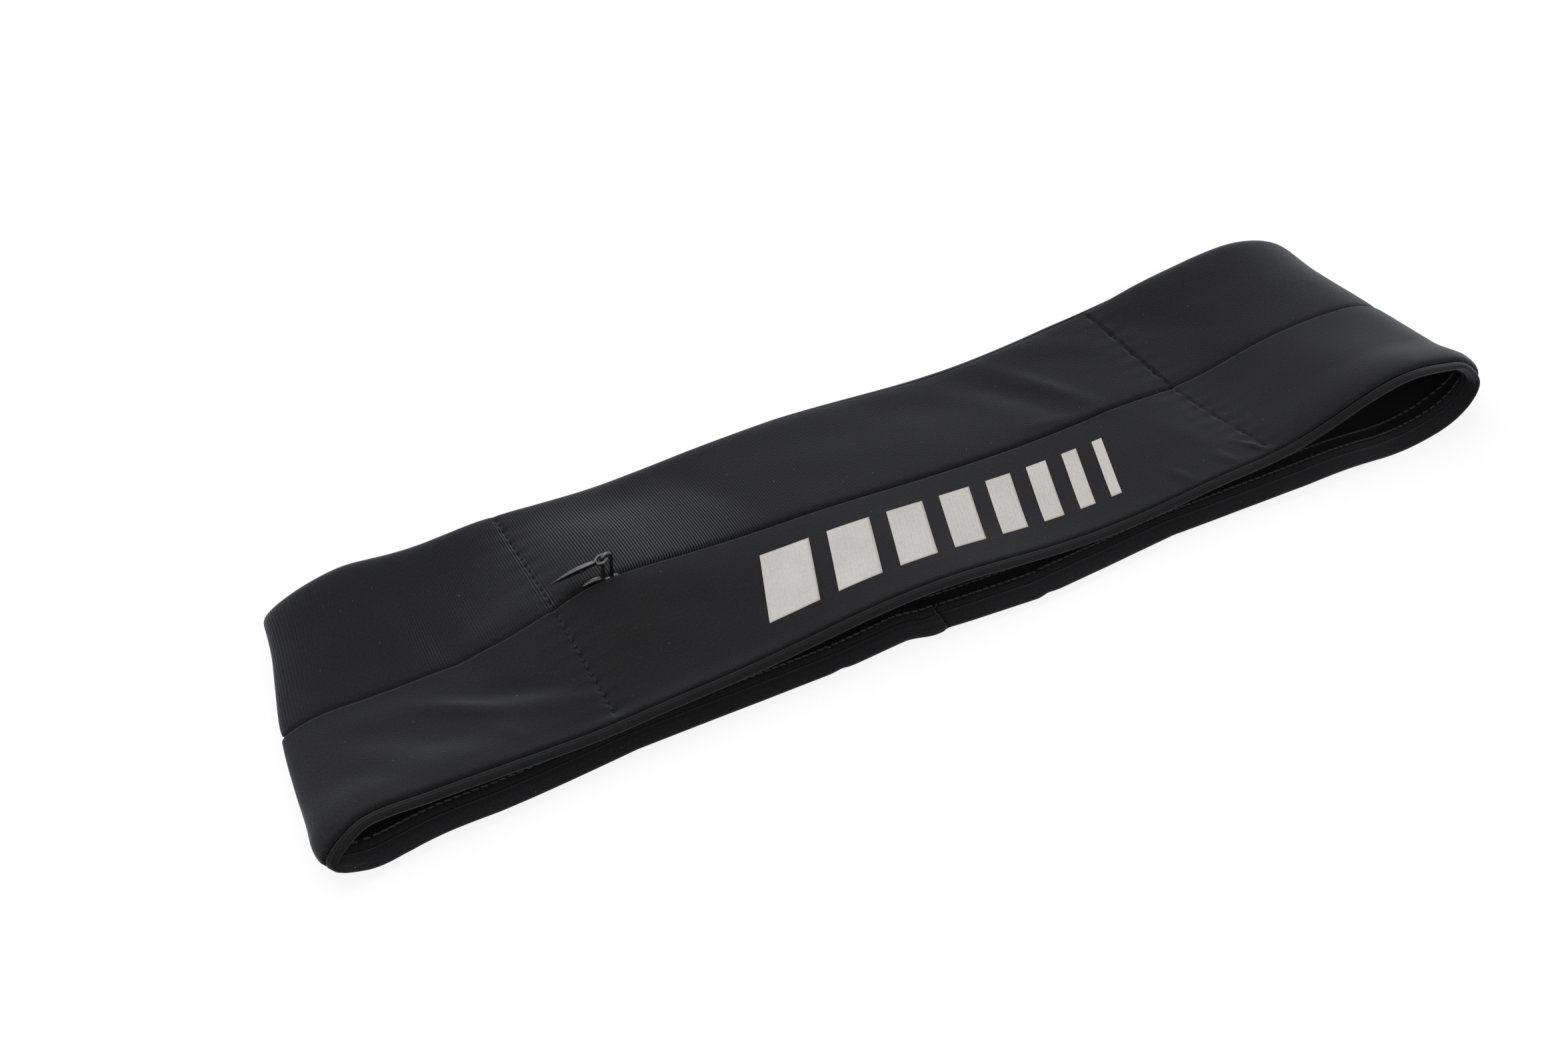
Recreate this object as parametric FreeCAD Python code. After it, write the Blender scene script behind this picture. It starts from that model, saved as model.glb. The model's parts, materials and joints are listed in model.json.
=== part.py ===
import FreeCAD, Part
import math
import os

# A tubular stretch-knit money belt, lying on its back half: a closed loop whose axis runs along Y.
# Frame: X along the flattened belt, Y across its width, Z up from the surface it lies on.
# The origin is the middle of the belt's footprint. All sizes are in millimetres.

# The belt as it lies: a low fold at its left end, a straight stretch over the zip pocket and a high,
# open loop at its right end. The middle of the front half stands above its rims, over the zip.
belt_length = 412.0
belt_width = 100.0
left_fold_height = 13.0
left_fold_run = 8.0
left_fold_foot = 7.0
left_slope_length = 80.0
right_slope_length = 90.0
right_loop_height = 27.0
right_loop_run = 40.0
right_loop_foot = 18.0
right_loop_belly = 12.5
rim_height_left = 13.0
rim_height_right = 12.0
extra_lift_left = 5.6
lift_margin_left = 40.0
lift_margin_right = 6.0

# The cloth and what is sewn into it.
fabric = 0.8
elastic_thickness = 1.4
elastic_width = 10.0
facing_width = 8.0
facing_turn = 10.0
facing_rounding = 1.2
groove_width = 0.8
seam_slot = 1.6
ribbed_tape_width = 6.0
ribbed_tape_thickness = 0.3
cover_thread_width = 0.7
cover_thread_height = 0.3
centre_seam_width = 5.2
centre_seam_thickness = 0.7
join_offset = -16.0
join_gap = 0.4
join_tape_width = 8.0
join_tape_thickness = 0.4

# Rows of stitches across the belt. The front rows end the zip pocket, and the back rows end a smaller
# pocket round the back join.
left_seam_inset = 5.0
right_seam_inset = 8.0
back_pocket_half = 36.0
stitch_length = 2.0
stitch_pitch = 2.8
stitch_width = 0.5
stitch_height = 0.25
stitch_margin = 2.0

# The zip, which closes the slot between the two outer panels from one pocket seam to the other.
zip_tape_width = 9.0
zip_tape_thickness = 0.4
zip_tape_steps = 5
coil_width = 1.5
coil_height = 1.3
coil_rounding = 0.45
seat_gap = 0.1
stop_length = 3.0
stop_proud = 0.4
bottom_stop_inset = 6.0
running_clearance = 0.25
pocket_play = 0.5

# The slider, its bridge and the puller.
slider_inset = 18.0
slider_length = 10.0
slider_lead = 6.5
slider_plate = 0.7
slider_wall = 0.6
web_thickness = 1.0
nose_rise = 1.4
nose_length = 6.0
nose_peak = 2.4
bridge_height = 9.8
bridge_span = 4.2
bridge_wire = 0.9
puller_length = 18.5
puller_width = 6.0
puller_thickness = 1.7
puller_pin = 1.0
eye_inner_width = 2.6
eye_arm = 0.8
eye_reach = 3.3
puller_sag = 0.35
puller_tip_width = 1.0
puller_tip_thickness = 0.5
puller_rest_gap = 0.5
puller_yaw = 14.0
pin_clearance = 0.3

# The reflective film on the lower panel: slanted bars that narrow from left to right.
film_thickness = 0.15
film_left_inset = 53.0
film_right_inset = 38.0
film_rim_margin = 5.2
film_seam_margin = 10.2
film_slant = 10.0
film_bars = 8
film_first_bar = 17.0
film_last_bar = 4.0

# How finely the curves are followed.
curve_steps = 8
panel_stations = 11
rounding_steps = 3

# Places and sizes that follow from those above.
half_length = belt_length / 2
half_width = belt_width / 2
stack = 2 * fabric + elastic_thickness
panel_edge = half_width - facing_width - groove_width
panel_seam_edge = seam_slot / 2
rim_turn_edge = half_width - facing_turn
flat_left = -half_length + left_slope_length
flat_right = half_length - right_slope_length
lift_run_left = left_slope_length - left_fold_run - lift_margin_left
lift_run_right = right_slope_length - right_loop_run - lift_margin_right
left_seam_x = flat_left + left_seam_inset
right_seam_x = flat_right - right_seam_inset
slider_start_x = left_seam_x + slider_inset
top_stop_x = slider_start_x - slider_lead - running_clearance
bottom_stop_x = right_seam_x - bottom_stop_inset
film_left = left_seam_x + film_left_inset
film_length = right_seam_x - film_right_inset - film_left
film_low_y = -(panel_edge - film_rim_margin)
film_high_y = -film_seam_margin - panel_seam_edge

# Depths under the crest of the front half, downwards, and the lift that leaves the slider room.
tape_top = -fabric - seat_gap
coil_top = tape_top - zip_tape_thickness - seat_gap
coil_foot = coil_top - coil_height
plate_top = coil_foot - running_clearance
plate_foot = plate_top - slider_plate
coil_outer_edge = panel_seam_edge + coil_width
crest_lift_right = pocket_play - plate_foot - fabric - elastic_thickness
crest_lift_left = crest_lift_right + extra_lift_left

os.makedirs("parts", exist_ok=True)


def export(name, shape):
    """Writes one piece to its own file."""
    shape.exportStep("parts/" + name + ".step")


def group(solids):
    """Joins separate solids of one kind into one piece."""
    return Part.makeCompound(solids)


# ---------------------------------------------------------------- the loop's outline

def smooth_step(t):
    """Rises from 0 to 1 with level ends."""
    t = min(max(t, 0.0), 1.0)
    return t * t * (3 - 2 * t)


def crest_lift(x):
    """How far the middle of the front half stands above its rims, at x."""
    along = (x - flat_left) / (flat_right - flat_left)
    if x < flat_left:
        return crest_lift_left * smooth_step(1 - (flat_left - x) / lift_run_left)
    if x > flat_right:
        return crest_lift_right * smooth_step(1 - (x - flat_right) / lift_run_right)
    return crest_lift_left + (crest_lift_right - crest_lift_left) * along


def lift_share(y):
    """The share of the crest's lift at y: all of it in the middle, and none at the rims."""
    return max(0.0, 1 - (y / panel_edge) ** 2) ** 2


def rim_height(x):
    """Height of the front half's rims on the straight stretch."""
    slope = (rim_height_right - rim_height_left) / (flat_right - flat_left)
    return rim_height_left + slope * (x - flat_left)


def quarter(start, corner, end):
    """A rounded quarter turn from start to end that leaves both towards their corner."""
    pull = 4 * (math.sqrt(2) - 1) / 3
    first = [s + pull * (c - s) for s, c in zip(start, corner)]
    second = [e + pull * (c - e) for e, c in zip(end, corner)]
    return [start, tuple(first), tuple(second), end]


def outline():
    """The outer outline as a closed list of straight and curved stretches, seen along Y.

    It runs from the back half's right end, along the bottom, round the left fold, along the front half
    and round the right loop.
    """
    left, right = -half_length, half_length
    foot_right = (right - right_loop_foot, 0.0)
    foot_left = (left + left_fold_foot, 0.0)
    left_side = (left, left_fold_height / 2)
    left_top = (left + left_fold_run, left_fold_height)
    flat_start = (flat_left, rim_height_left)
    flat_end = (flat_right, rim_height_right)
    right_top = (right - right_loop_run, right_loop_height)
    right_side = (right, right_loop_belly)
    slope = (rim_height_right - rim_height_left) / (flat_right - flat_left)
    rise = (flat_left - left_top[0]) / 3
    climb = (right_top[0] - flat_right) * 2 / 5
    return [
        ("line", [foot_right, foot_left]),
        ("curve", quarter(foot_left, (left, 0.0), left_side)),
        ("curve", quarter(left_side, (left, left_fold_height), left_top)),
        ("curve", [left_top,
                   (left_top[0] + rise, left_fold_height),
                   (flat_left - rise, rim_height_left - slope * rise),
                   flat_start]),
        ("line", [flat_start, flat_end]),
        ("curve", [flat_end,
                   (flat_right + climb, rim_height_right + slope * climb),
                   (right_top[0] - climb, right_loop_height),
                   right_top]),
        ("curve", quarter(right_top, (right, right_loop_height), right_side)),
        ("curve", quarter(right_side, (right, 0.0), foot_right)),
    ]


OUTLINE = outline()
FRONT_STRETCHES = (3, 4, 5)


def outline_point(stretch, t, share):
    """A point of the outer outline, lifted by the crest's share where it is on the front half."""
    kind, ends = OUTLINE[stretch]
    if kind == "line":
        x = ends[0][0] + (ends[1][0] - ends[0][0]) * t
        z = ends[0][1] + (ends[1][1] - ends[0][1]) * t
    else:
        weights = [(1 - t) ** 3, 3 * t * (1 - t) ** 2, 3 * t * t * (1 - t), t ** 3]
        x = sum(w * p[0] for w, p in zip(weights, ends))
        z = sum(w * p[1] for w, p in zip(weights, ends))
    if stretch in FRONT_STRETCHES:
        z += crest_lift(x) * share
    return x, z


def outline_direction(stretch, t, share):
    """The unit direction of travel at a point of the outline, the mean of both sides at an end."""
    step = 1e-4
    if t <= 0:
        before = outline_point((stretch - 1) % len(OUTLINE), 1 - step, share)
    else:
        before = outline_point(stretch, t - step, share)
    if t >= 1:
        after = outline_point((stretch + 1) % len(OUTLINE), step, share)
    else:
        after = outline_point(stretch, t + step, share)
    here = outline_point(stretch, t, share)
    dx, dz = 0.0, 0.0
    for a, b in ((before, here), (here, after)):
        length = math.hypot(b[0] - a[0], b[1] - a[1])
        dx += (b[0] - a[0]) / length
        dz += (b[1] - a[1]) / length
    size = math.hypot(dx, dz)
    return dx / size, dz / size


def layer_point(stretch, t, depth, y, share):
    """A point at a depth under the outer outline, towards the inside of the loop."""
    x, z = outline_point(stretch, t, share)
    dx, dz = outline_direction(stretch, t, share)
    return FreeCAD.Vector(x + depth * dz, y, z - depth * dx)


def loop_wire(depth, y, share):
    """The closed outline at a depth, in the plane of y."""
    edges = []
    for stretch, (kind, _) in enumerate(OUTLINE):
        if kind == "line":
            start = layer_point(stretch, 0.0, depth, y, share)
            end = layer_point(stretch, 1.0, depth, y, share)
            edges.append(Part.makeLine(start, end))
            continue
        points = []
        for i in range(curve_steps + 1):
            points.append(layer_point(stretch, i / curve_steps, depth, y, share))
        tangents = []
        for t in (0.0, 1.0):
            dx, dz = outline_direction(stretch, t, share)
            tangents.append(FreeCAD.Vector(dx, 0, dz))
        curve = Part.BSplineCurve()
        curve.interpolate(Points=points, InitialTangent=tangents[0], FinalTangent=tangents[1])
        edges.append(curve.toShape())
    return Part.Wire(edges)


def ring(outer_depth, inner_depth, y0, y1):
    """A band of even thickness round the whole loop, between two depths and two edges."""
    along = FreeCAD.Vector(0, y1 - y0, 0)
    outer = Part.Face(loop_wire(outer_depth, y0, 0.0)).extrude(along)
    inner = Part.Face(loop_wire(inner_depth, y0, 0.0)).extrude(along)
    return outer.cut(inner)


def rolled_ring(outer_depth, inner_depth, y0, y1, radius):
    """A ring whose edge at y1 is rounded off on both faces."""
    walls = []
    for depth, inward in ((outer_depth, 1), (inner_depth, -1)):
        wires = [loop_wire(depth, y0, 0.0)]
        for step in range(rounding_steps + 1):
            angle = math.pi / 2 * step / rounding_steps
            shift = radius * (1 - math.cos(angle))
            wires.append(loop_wire(depth + inward * shift, y1 - radius * (1 - math.sin(angle)), 0.0))
        walls.append(Part.makeLoft(wires, True, True))
    return walls[0].cut(walls[1])


def lifted_ring(outer_depth, inner_depth, stations):
    """A band round the whole loop whose front half follows the crest's lift across the width."""
    walls = []
    for depth in (outer_depth, inner_depth):
        wires = [loop_wire(depth, y, lift_share(y)) for y in stations]
        walls.append(Part.makeLoft(wires, True, True))
    return walls[0].cut(walls[1])


def spread(y0, y1, count):
    """Evenly spaced places from y0 to y1, both included."""
    return [y0 + (y1 - y0) * i / (count - 1) for i in range(count)]


def panel_stations_between(y0, y1):
    """The places from y0 to y1 where a patch has to bend, because the outer panel under it does."""
    bends = spread(panel_seam_edge, panel_edge, panel_stations)
    inside = [b for b in bends + [-b for b in bends] if y0 < b < y1]
    return sorted([y0, y1] + inside)


def flat_patch(left_of, right_of, stations, outer_depth, inner_depth):
    """A thin patch on the front half's straight stretch, between two edges given as functions of y."""
    wires = []
    for y in stations:
        share = lift_share(y)
        corners = []
        for x, depth in ((left_of(y), outer_depth), (right_of(y), outer_depth),
                         (right_of(y), inner_depth), (left_of(y), inner_depth)):
            corners.append(FreeCAD.Vector(x, y, rim_height(x) + crest_lift(x) * share - depth))
        wires.append(Part.makePolygon(corners + corners[:1]))
    return Part.makeLoft(wires, True, True)


def block(x0, x1, y0, y1, z0, z1):
    """A box between two corners."""
    return Part.makeBox(x1 - x0, y1 - y0, z1 - z0, FreeCAD.Vector(x0, y0, z0))


def mirrored(shape):
    """The same piece on the other side of the centre seam."""
    return shape.mirror(FreeCAD.Vector(0, 0, 0), FreeCAD.Vector(0, 1, 0))


def export_pair(name, upper):
    """Writes a piece of the upper side and its twin on the lower side."""
    export("upper_" + name, upper)
    export("lower_" + name, mirrored(upper))


# ---------------------------------------------------------------- the cloth

def join_slit(height):
    """The gap at the back join, where the ends of a strip meet."""
    return block(join_offset - join_gap / 2, join_offset + join_gap / 2,
                 -half_width, half_width, -fabric, height)


def outer_panel():
    """One strip of the outer face, from the centre seam to the groove along the rim."""
    stations = spread(panel_seam_edge, panel_edge, panel_stations)
    return lifted_ring(0.0, fabric, stations).cut(join_slit(stack))


def inner_panel():
    """The strip against the wearer."""
    band = ring(fabric + elastic_thickness, stack, -rim_turn_edge, rim_turn_edge)
    return band.cut(join_slit(stack + fabric))


def rim_facing():
    """The fold of cloth over one rim: an outer leg up to the groove, the edge and an inner leg."""
    facing = rolled_ring(0.0, stack, rim_turn_edge, half_width, facing_rounding)
    hollow = ring(fabric, fabric + elastic_thickness, rim_turn_edge, half_width - fabric)
    shorter_leg = ring(0.0, fabric, rim_turn_edge, half_width - facing_width)
    return facing.cut(hollow).cut(shorter_leg)


def rim_elastic():
    """The flat elastic inside one rim."""
    outer_edge = half_width - fabric
    return ring(fabric, fabric + elastic_thickness, outer_edge - elastic_width, outer_edge)


def ribbed_tape():
    """The tape over the join of facing and inner panel, on the wearer's side."""
    half_tape = ribbed_tape_width / 2
    return ring(stack, stack + ribbed_tape_thickness, rim_turn_edge - half_tape, rim_turn_edge + half_tape)


def cover_stitching():
    """Two raised rows of cover stitch along the edges of the ribbed tape."""
    top = stack + ribbed_tape_thickness
    half_tape = ribbed_tape_width / 2
    rows = []
    for y in (rim_turn_edge - half_tape, rim_turn_edge + half_tape - cover_thread_width):
        rows.append(ring(top, top + cover_thread_height, y, y + cover_thread_width))
    return group(rows)


def centre_seam():
    """The seam allowance under both strips, everywhere but at the zip."""
    half_seam = centre_seam_width / 2
    top = fabric + seat_gap
    band = lifted_ring(top, top + centre_seam_thickness, [-half_seam, 0.0, half_seam])
    ceiling = rim_height_left + crest_lift_left + stack
    zip_stretch = block(left_seam_x, right_seam_x, -half_seam, half_seam, rim_height_right / 2, ceiling)
    return band.cut(zip_stretch).cut(join_slit(stack))


def join_tape():
    """The tape over the back join, between the two ribbed tapes."""
    reach = rim_turn_edge - ribbed_tape_width / 2
    return block(join_offset - join_tape_width / 2, join_offset + join_tape_width / 2, -reach, reach,
                 stack, stack + join_tape_thickness)


def stitch_rows(reach, start):
    """The middles of a row of stitches from start to reach, on both sides of the centre seam."""
    count = int((reach - start - stitch_length) // stitch_pitch) + 1
    middles = [start + stitch_length / 2 + stitch_pitch * i for i in range(count)]
    return sorted([-m for m in middles] + middles)


def pocket_stitching(x):
    """A row of stitches across the outer face at a pocket's end."""
    solids = []
    for middle in stitch_rows(panel_edge - stitch_margin, panel_seam_edge):
        ends = [middle - stitch_length / 2, middle + stitch_length / 2]
        solids.append(flat_patch(lambda y: x - stitch_width / 2, lambda y: x + stitch_width / 2,
                                 ends, -seat_gap - stitch_height, -seat_gap))
    return group(solids)


def back_stitching(x):
    """A row of stitches across the back half, on the wearer's side."""
    solids = []
    reach = rim_turn_edge - ribbed_tape_width / 2 - stitch_margin
    for middle in stitch_rows(reach, panel_seam_edge):
        solids.append(block(x - stitch_width / 2, x + stitch_width / 2,
                            middle - stitch_length / 2, middle + stitch_length / 2,
                            stack, stack + stitch_height))
    return group(solids)


def film_bar_edges():
    """The left and right edges of each bar at its foot, with even gaps between the bars."""
    shrink = (film_last_bar - film_first_bar) / (film_bars - 1)
    widths = [film_first_bar + shrink * i for i in range(film_bars)]
    gap = (film_length - film_slant - sum(widths)) / (film_bars - 1)
    edges = []
    left = film_left
    for width in widths:
        edges.append((left, left + width))
        left += width + gap
    return edges


def reflective_film():
    """The slanted bars of reflective film on the lower panel."""
    def lean(y):
        return film_slant * (y - film_low_y) / (film_high_y - film_low_y)

    solids = []
    stations = panel_stations_between(film_low_y, film_high_y)
    for left, right in film_bar_edges():
        solids.append(flat_patch(lambda y: left + lean(y), lambda y: right + lean(y),
                                 stations, -seat_gap - film_thickness, -seat_gap))
    return group(solids)


# ---------------------------------------------------------------- the zip

crest_rise = (rim_height_right + crest_lift_right) - (rim_height_left + crest_lift_left)
crest_angle = math.degrees(math.atan2(crest_rise, flat_right - flat_left))


def on_crest(shape, x):
    """Sets a piece drawn round the origin on the crest line at x, along the slope of the zip."""
    height = rim_height(x) + crest_lift(x)
    turn = FreeCAD.Rotation(FreeCAD.Vector(0, 1, 0), -crest_angle)
    placed = shape.copy()
    placed.Placement = FreeCAD.Placement(FreeCAD.Vector(x, 0, height), turn)
    return placed


def zip_tape():
    """The tape under the edge of one outer panel, in lengths that each twist only a little."""
    stations = panel_stations_between(panel_seam_edge, panel_seam_edge + zip_tape_width)
    ends = spread(left_seam_x, right_seam_x, zip_tape_steps + 1)
    lengths = []
    for start, end in zip(ends, ends[1:]):
        lengths.append(flat_patch(lambda y: start, lambda y: end,
                                  stations, -tape_top, zip_tape_thickness - tape_top))
    return lengths[0].multiFuse(lengths[1:])


def zip_coil():
    """The row of coil on one tape, between the stops, with its outer lower edge rounded."""
    length = (bottom_stop_x - top_stop_x) / math.cos(math.radians(crest_angle))
    row = block(0.0, length, panel_seam_edge, coil_outer_edge, coil_foot, coil_top)
    lower = [e for e in row.Edges if e.BoundBox.XLength > length / 2 and e.BoundBox.ZMax < coil_top]
    return on_crest(row.makeFillet(coil_rounding, lower), top_stop_x)


def top_stop():
    """The clip that ends one row of coil where the zip is closed."""
    clip = block(-stop_length, 0.0, panel_seam_edge, coil_outer_edge + stop_proud,
                 coil_foot - stop_proud, coil_top)
    return on_crest(clip, top_stop_x)


def bottom_stop():
    """The block across both rows that ends the zip where it is open."""
    half_clip = coil_outer_edge + stop_proud
    clip = block(0.0, stop_length, -half_clip, half_clip, coil_foot - stop_proud, coil_top)
    return on_crest(clip, bottom_stop_x)


def slider_body():
    """The slider: a plate under the coils, side walls outside them and a web up through the slot."""
    back = -slider_lead
    front = slider_length - slider_lead
    wall_in = coil_outer_edge + running_clearance
    wall_out = wall_in + slider_wall
    wall_top = coil_top - running_clearance
    plate = block(back, front, -wall_out, wall_out, plate_foot, plate_top)
    wall = block(back, front, wall_in, wall_out, plate_top, wall_top)
    web = block(back, front, -web_thickness / 2, web_thickness / 2, plate_top, 0.0)
    nose_front = -bridge_span / 2
    start = FreeCAD.Vector(nose_front - nose_length, -web_thickness / 2, 0)
    top = FreeCAD.Vector(nose_front - nose_peak, -web_thickness / 2, nose_rise)
    end = FreeCAD.Vector(nose_front, -web_thickness / 2, bridge_wire)
    foot = FreeCAD.Vector(nose_front, -web_thickness / 2, 0)
    curve = Part.Arc(start, top, end).toShape()
    crown = Part.Wire([curve, Part.makeLine(end, foot), Part.makeLine(foot, start)])
    nose = Part.Face(crown).extrude(FreeCAD.Vector(0, web_thickness, 0))
    return on_crest(plate.multiFuse([wall, mirrored(wall), web, nose]).removeSplitter(), slider_start_x)


def wire_arch(half_span, height, foot, half_thickness):
    """An upright slab with a half-round head, drawn round the bridge's foot."""
    shoulder = height - half_span
    start = FreeCAD.Vector(-half_span, -half_thickness, foot)
    left = FreeCAD.Vector(-half_span, -half_thickness, shoulder)
    head = FreeCAD.Vector(0, -half_thickness, height)
    right = FreeCAD.Vector(half_span, -half_thickness, shoulder)
    end = FreeCAD.Vector(half_span, -half_thickness, foot)
    sides = [Part.makeLine(start, left), Part.Arc(left, head, right).toShape(),
             Part.makeLine(right, end), Part.makeLine(end, start)]
    return Part.Face(Part.Wire(sides)).extrude(FreeCAD.Vector(0, 2 * half_thickness, 0))


def slider_bridge():
    """The bent wire loop on the slider that holds the puller."""
    half_span = bridge_span / 2
    outer = wire_arch(half_span, bridge_height, 0.0, web_thickness / 2)
    window = wire_arch(half_span - bridge_wire, bridge_height - bridge_wire, -bridge_wire, web_thickness)
    return on_crest(outer.cut(window), slider_start_x)


def puller_section(along, width, thickness, sag):
    """An oval across the blade at a distance from the pin."""
    oval = Part.Ellipse(FreeCAD.Vector(0, 0, 0), width / 2, thickness / 2).toShape()
    turn = FreeCAD.Rotation(FreeCAD.Vector(0, 1, 0), FreeCAD.Vector(0, 0, 1), FreeCAD.Vector(1, 0, 0))
    oval.Placement = FreeCAD.Placement(FreeCAD.Vector(-along, 0, sag), turn)
    return Part.Wire([oval])


def puller_blade():
    """The drop-shaped blade, widest in its middle, from the eye's yoke to the tip."""
    neck_width = eye_inner_width
    sizes = ((0.0, neck_width, puller_pin),
             (0.22, (neck_width + 2 * puller_width) / 3, (puller_pin + 2 * puller_thickness) / 3),
             (0.5, puller_width, puller_thickness),
             (0.8, (puller_width + puller_tip_width) / 2, (puller_thickness + puller_tip_thickness) / 2),
             (1.0, puller_tip_width, puller_tip_thickness))
    sections = []
    for share, width, thickness in sizes:
        along = eye_reach + (puller_length - eye_reach) * share
        sections.append(puller_section(along, width, thickness, puller_sag * math.sin(math.pi * share)))
    return Part.makeLoft(sections, True, False)


def puller():
    """The puller drawn along -X from its pin at the origin: two arms, a yoke and the blade."""
    inside = eye_inner_width / 2
    outside = inside + eye_arm
    thick = puller_pin / 2
    arm = block(-eye_reach, 0.0, inside, outside, -thick, thick)
    yoke = block(-eye_reach - eye_arm / 2, -eye_reach + eye_arm / 2, -outside, outside, -thick, thick)
    pin = Part.makeCylinder(thick, 2 * outside, FreeCAD.Vector(0, -outside, 0), FreeCAD.Vector(0, 1, 0))
    return puller_blade().multiFuse([arm, mirrored(arm), yoke, pin])


def placed_puller():
    """The puller hung on the bridge, turned off the zip's line, its tip just above the belt."""
    pin_height = bridge_height - bridge_wire - pin_clearance - puller_pin / 2
    drop = pin_height - puller_rest_gap - puller_tip_thickness / 2
    droop = math.degrees(math.asin(drop / puller_length))
    turn = FreeCAD.Rotation(FreeCAD.Vector(0, 0, 1), -puller_yaw)
    turn = turn.multiply(FreeCAD.Rotation(FreeCAD.Vector(0, 1, 0), -droop))
    shape = puller()
    shape.Placement = FreeCAD.Placement(FreeCAD.Vector(0, 0, pin_height), turn)
    return on_crest(group([shape]), slider_start_x)


# ---------------------------------------------------------------- every piece

export_pair("outer_panel", outer_panel())
export("inner_panel", inner_panel())
export_pair("rim_facing", rim_facing())
export_pair("rim_elastic", rim_elastic())
export_pair("ribbed_tape", ribbed_tape())
export_pair("cover_stitching", cover_stitching())
export("centre_seam", centre_seam())
export("back_join_tape", join_tape())
export("left_pocket_stitching", pocket_stitching(left_seam_x))
export("right_pocket_stitching", pocket_stitching(right_seam_x))
export("left_back_stitching", back_stitching(join_offset - back_pocket_half))
export("right_back_stitching", back_stitching(join_offset + back_pocket_half))
export("reflective_film", reflective_film())
export_pair("zip_tape", zip_tape())
export_pair("zip_coil", zip_coil())
export_pair("top_stop", top_stop())
export("bottom_stop", bottom_stop())
export("slider_body", slider_body())
export("slider_bridge", slider_bridge())
export("puller", placed_puller())
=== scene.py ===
import json
import math

import bpy
import numpy as np
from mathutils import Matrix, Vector


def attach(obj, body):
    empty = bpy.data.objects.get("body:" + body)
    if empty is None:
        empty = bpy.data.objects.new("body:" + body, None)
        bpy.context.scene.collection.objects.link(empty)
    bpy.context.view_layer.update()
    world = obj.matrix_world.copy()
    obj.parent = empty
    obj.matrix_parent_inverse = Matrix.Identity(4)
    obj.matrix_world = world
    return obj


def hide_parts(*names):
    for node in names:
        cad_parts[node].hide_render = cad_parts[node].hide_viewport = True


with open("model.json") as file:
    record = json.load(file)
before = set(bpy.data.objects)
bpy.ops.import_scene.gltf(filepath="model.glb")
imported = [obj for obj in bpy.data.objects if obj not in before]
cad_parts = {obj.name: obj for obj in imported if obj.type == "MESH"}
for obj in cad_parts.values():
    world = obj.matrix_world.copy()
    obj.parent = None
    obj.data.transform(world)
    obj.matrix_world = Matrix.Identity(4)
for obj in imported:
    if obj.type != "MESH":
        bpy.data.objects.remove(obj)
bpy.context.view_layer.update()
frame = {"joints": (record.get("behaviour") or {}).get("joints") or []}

bl_info = {
    "name": "Stretch-knit money belt",
    "version": (1, 0, 0),
    "blender": (4, 5, 0),
    "location": "View3D > Sidebar > Money belt",
    "description": "Builds the cloth, stitches, zip and puller of a tubular money belt round its frame",
    "category": "Add Mesh",
}

MM = 0.001

# ---------------------------------------------------------------- how the belt lies, in millimetres

# Three outlines in planes across the belt: near the front rim, at the centre seam and near the rear rim.
# They run from the right along the bottom, up the left fold, back along the top and round the right loop.
STATION = 43.0
BOTTOM_X = (184, 150, 100, 50, 0, -50, -100, -150, -184)
TOP_X = (-184, -165, -142, -125, -110, -85, -58, -30, -6, 18, 42, 66, 92, 116, 134, 150, 168, 184)
FRONT_TOP = (12.6, 11.6, 10.5, 10.3, 11.0, 12.0, 14.5, 16.7, 15.9,
             13.0, 11.2, 11.8, 14.0, 15.6, 20.0, 25.0, 27.5, 25.0)
CENTRE_TOP = (8.2, 8.0, 9.8, 14.6, 19.5, 19.8, 18.0, 17.2, 15.6,
              14.2, 13.5, 14.0, 14.9, 15.0, 18.6, 21.6, 22.8, 22.2)
REAR_TOP = (17.1, 17.1, 16.6, 18.5, 17.7, 16.3, 17.7, 18.4, 17.3,
            15.2, 13.8, 14.9, 17.9, 21.7, 25.0, 27.1, 28.5, 25.2)

# The folds: foot, outermost point and shoulder of each outline, as (x, z).
LEFT_FOLD = {
    "front": ((-198.5, 0.5), (-208.6, 4.8), (-199.5, 10.8)),
    "centre": ((-197.5, 0.3), (-204.0, 3.6), (-196.5, 7.4)),
    "rear": ((-186.0, 0.4), (-194.0, 5.4), (-190.5, 11.8)),
}
RIGHT_LOOP = {
    "front": ((197.5, 20.6), (205.0, 13.8), (200.3, 6.0)),
    "centre": ((197.0, 18.5), (205.0, 11.0), (197.0, 2.2)),
    "rear": ((194.5, 19.0), (201.0, 10.5), (195.5, 2.0)),
}
# The rear outline is moved right by up to this, growing over a run that ends at the left fold.
REAR_FOLD_SHIFT = 10.0
REAR_FOLD_START = -150.0
REAR_FOLD_RUN = 40.0

# How far the front rim turns up from the line of its panel, at places along the top. The rear rim turns down.
CURL_X = (-206, -120, -60, -20, 40, 90, 120, 142, 165, 206)
FRONT_CURL = (2.4, 1.9, 1.3, 1.2, 1.2, 1.2, 1.2, 0.9, 1.6, 2.4)
REAR_CURL = (-5.2, -5.2, -4.0, -2.3, -1.6, -2.0, -3.3, -5.2, -5.6, -5.2)
CURL_START = 40.5
# The curl draws each rim in, the rims tuck in at both ends, and each panel's width is pulled in by a share.
FRONT_DRAW = 0.45
REAR_DRAW = 0.55
RIM_TUCK = 3.4
LEFT_TUCK = 3.2
TUCK_START = 190.0
FRONT_PULL = 0.024
REAR_PULL = -0.01

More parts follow.
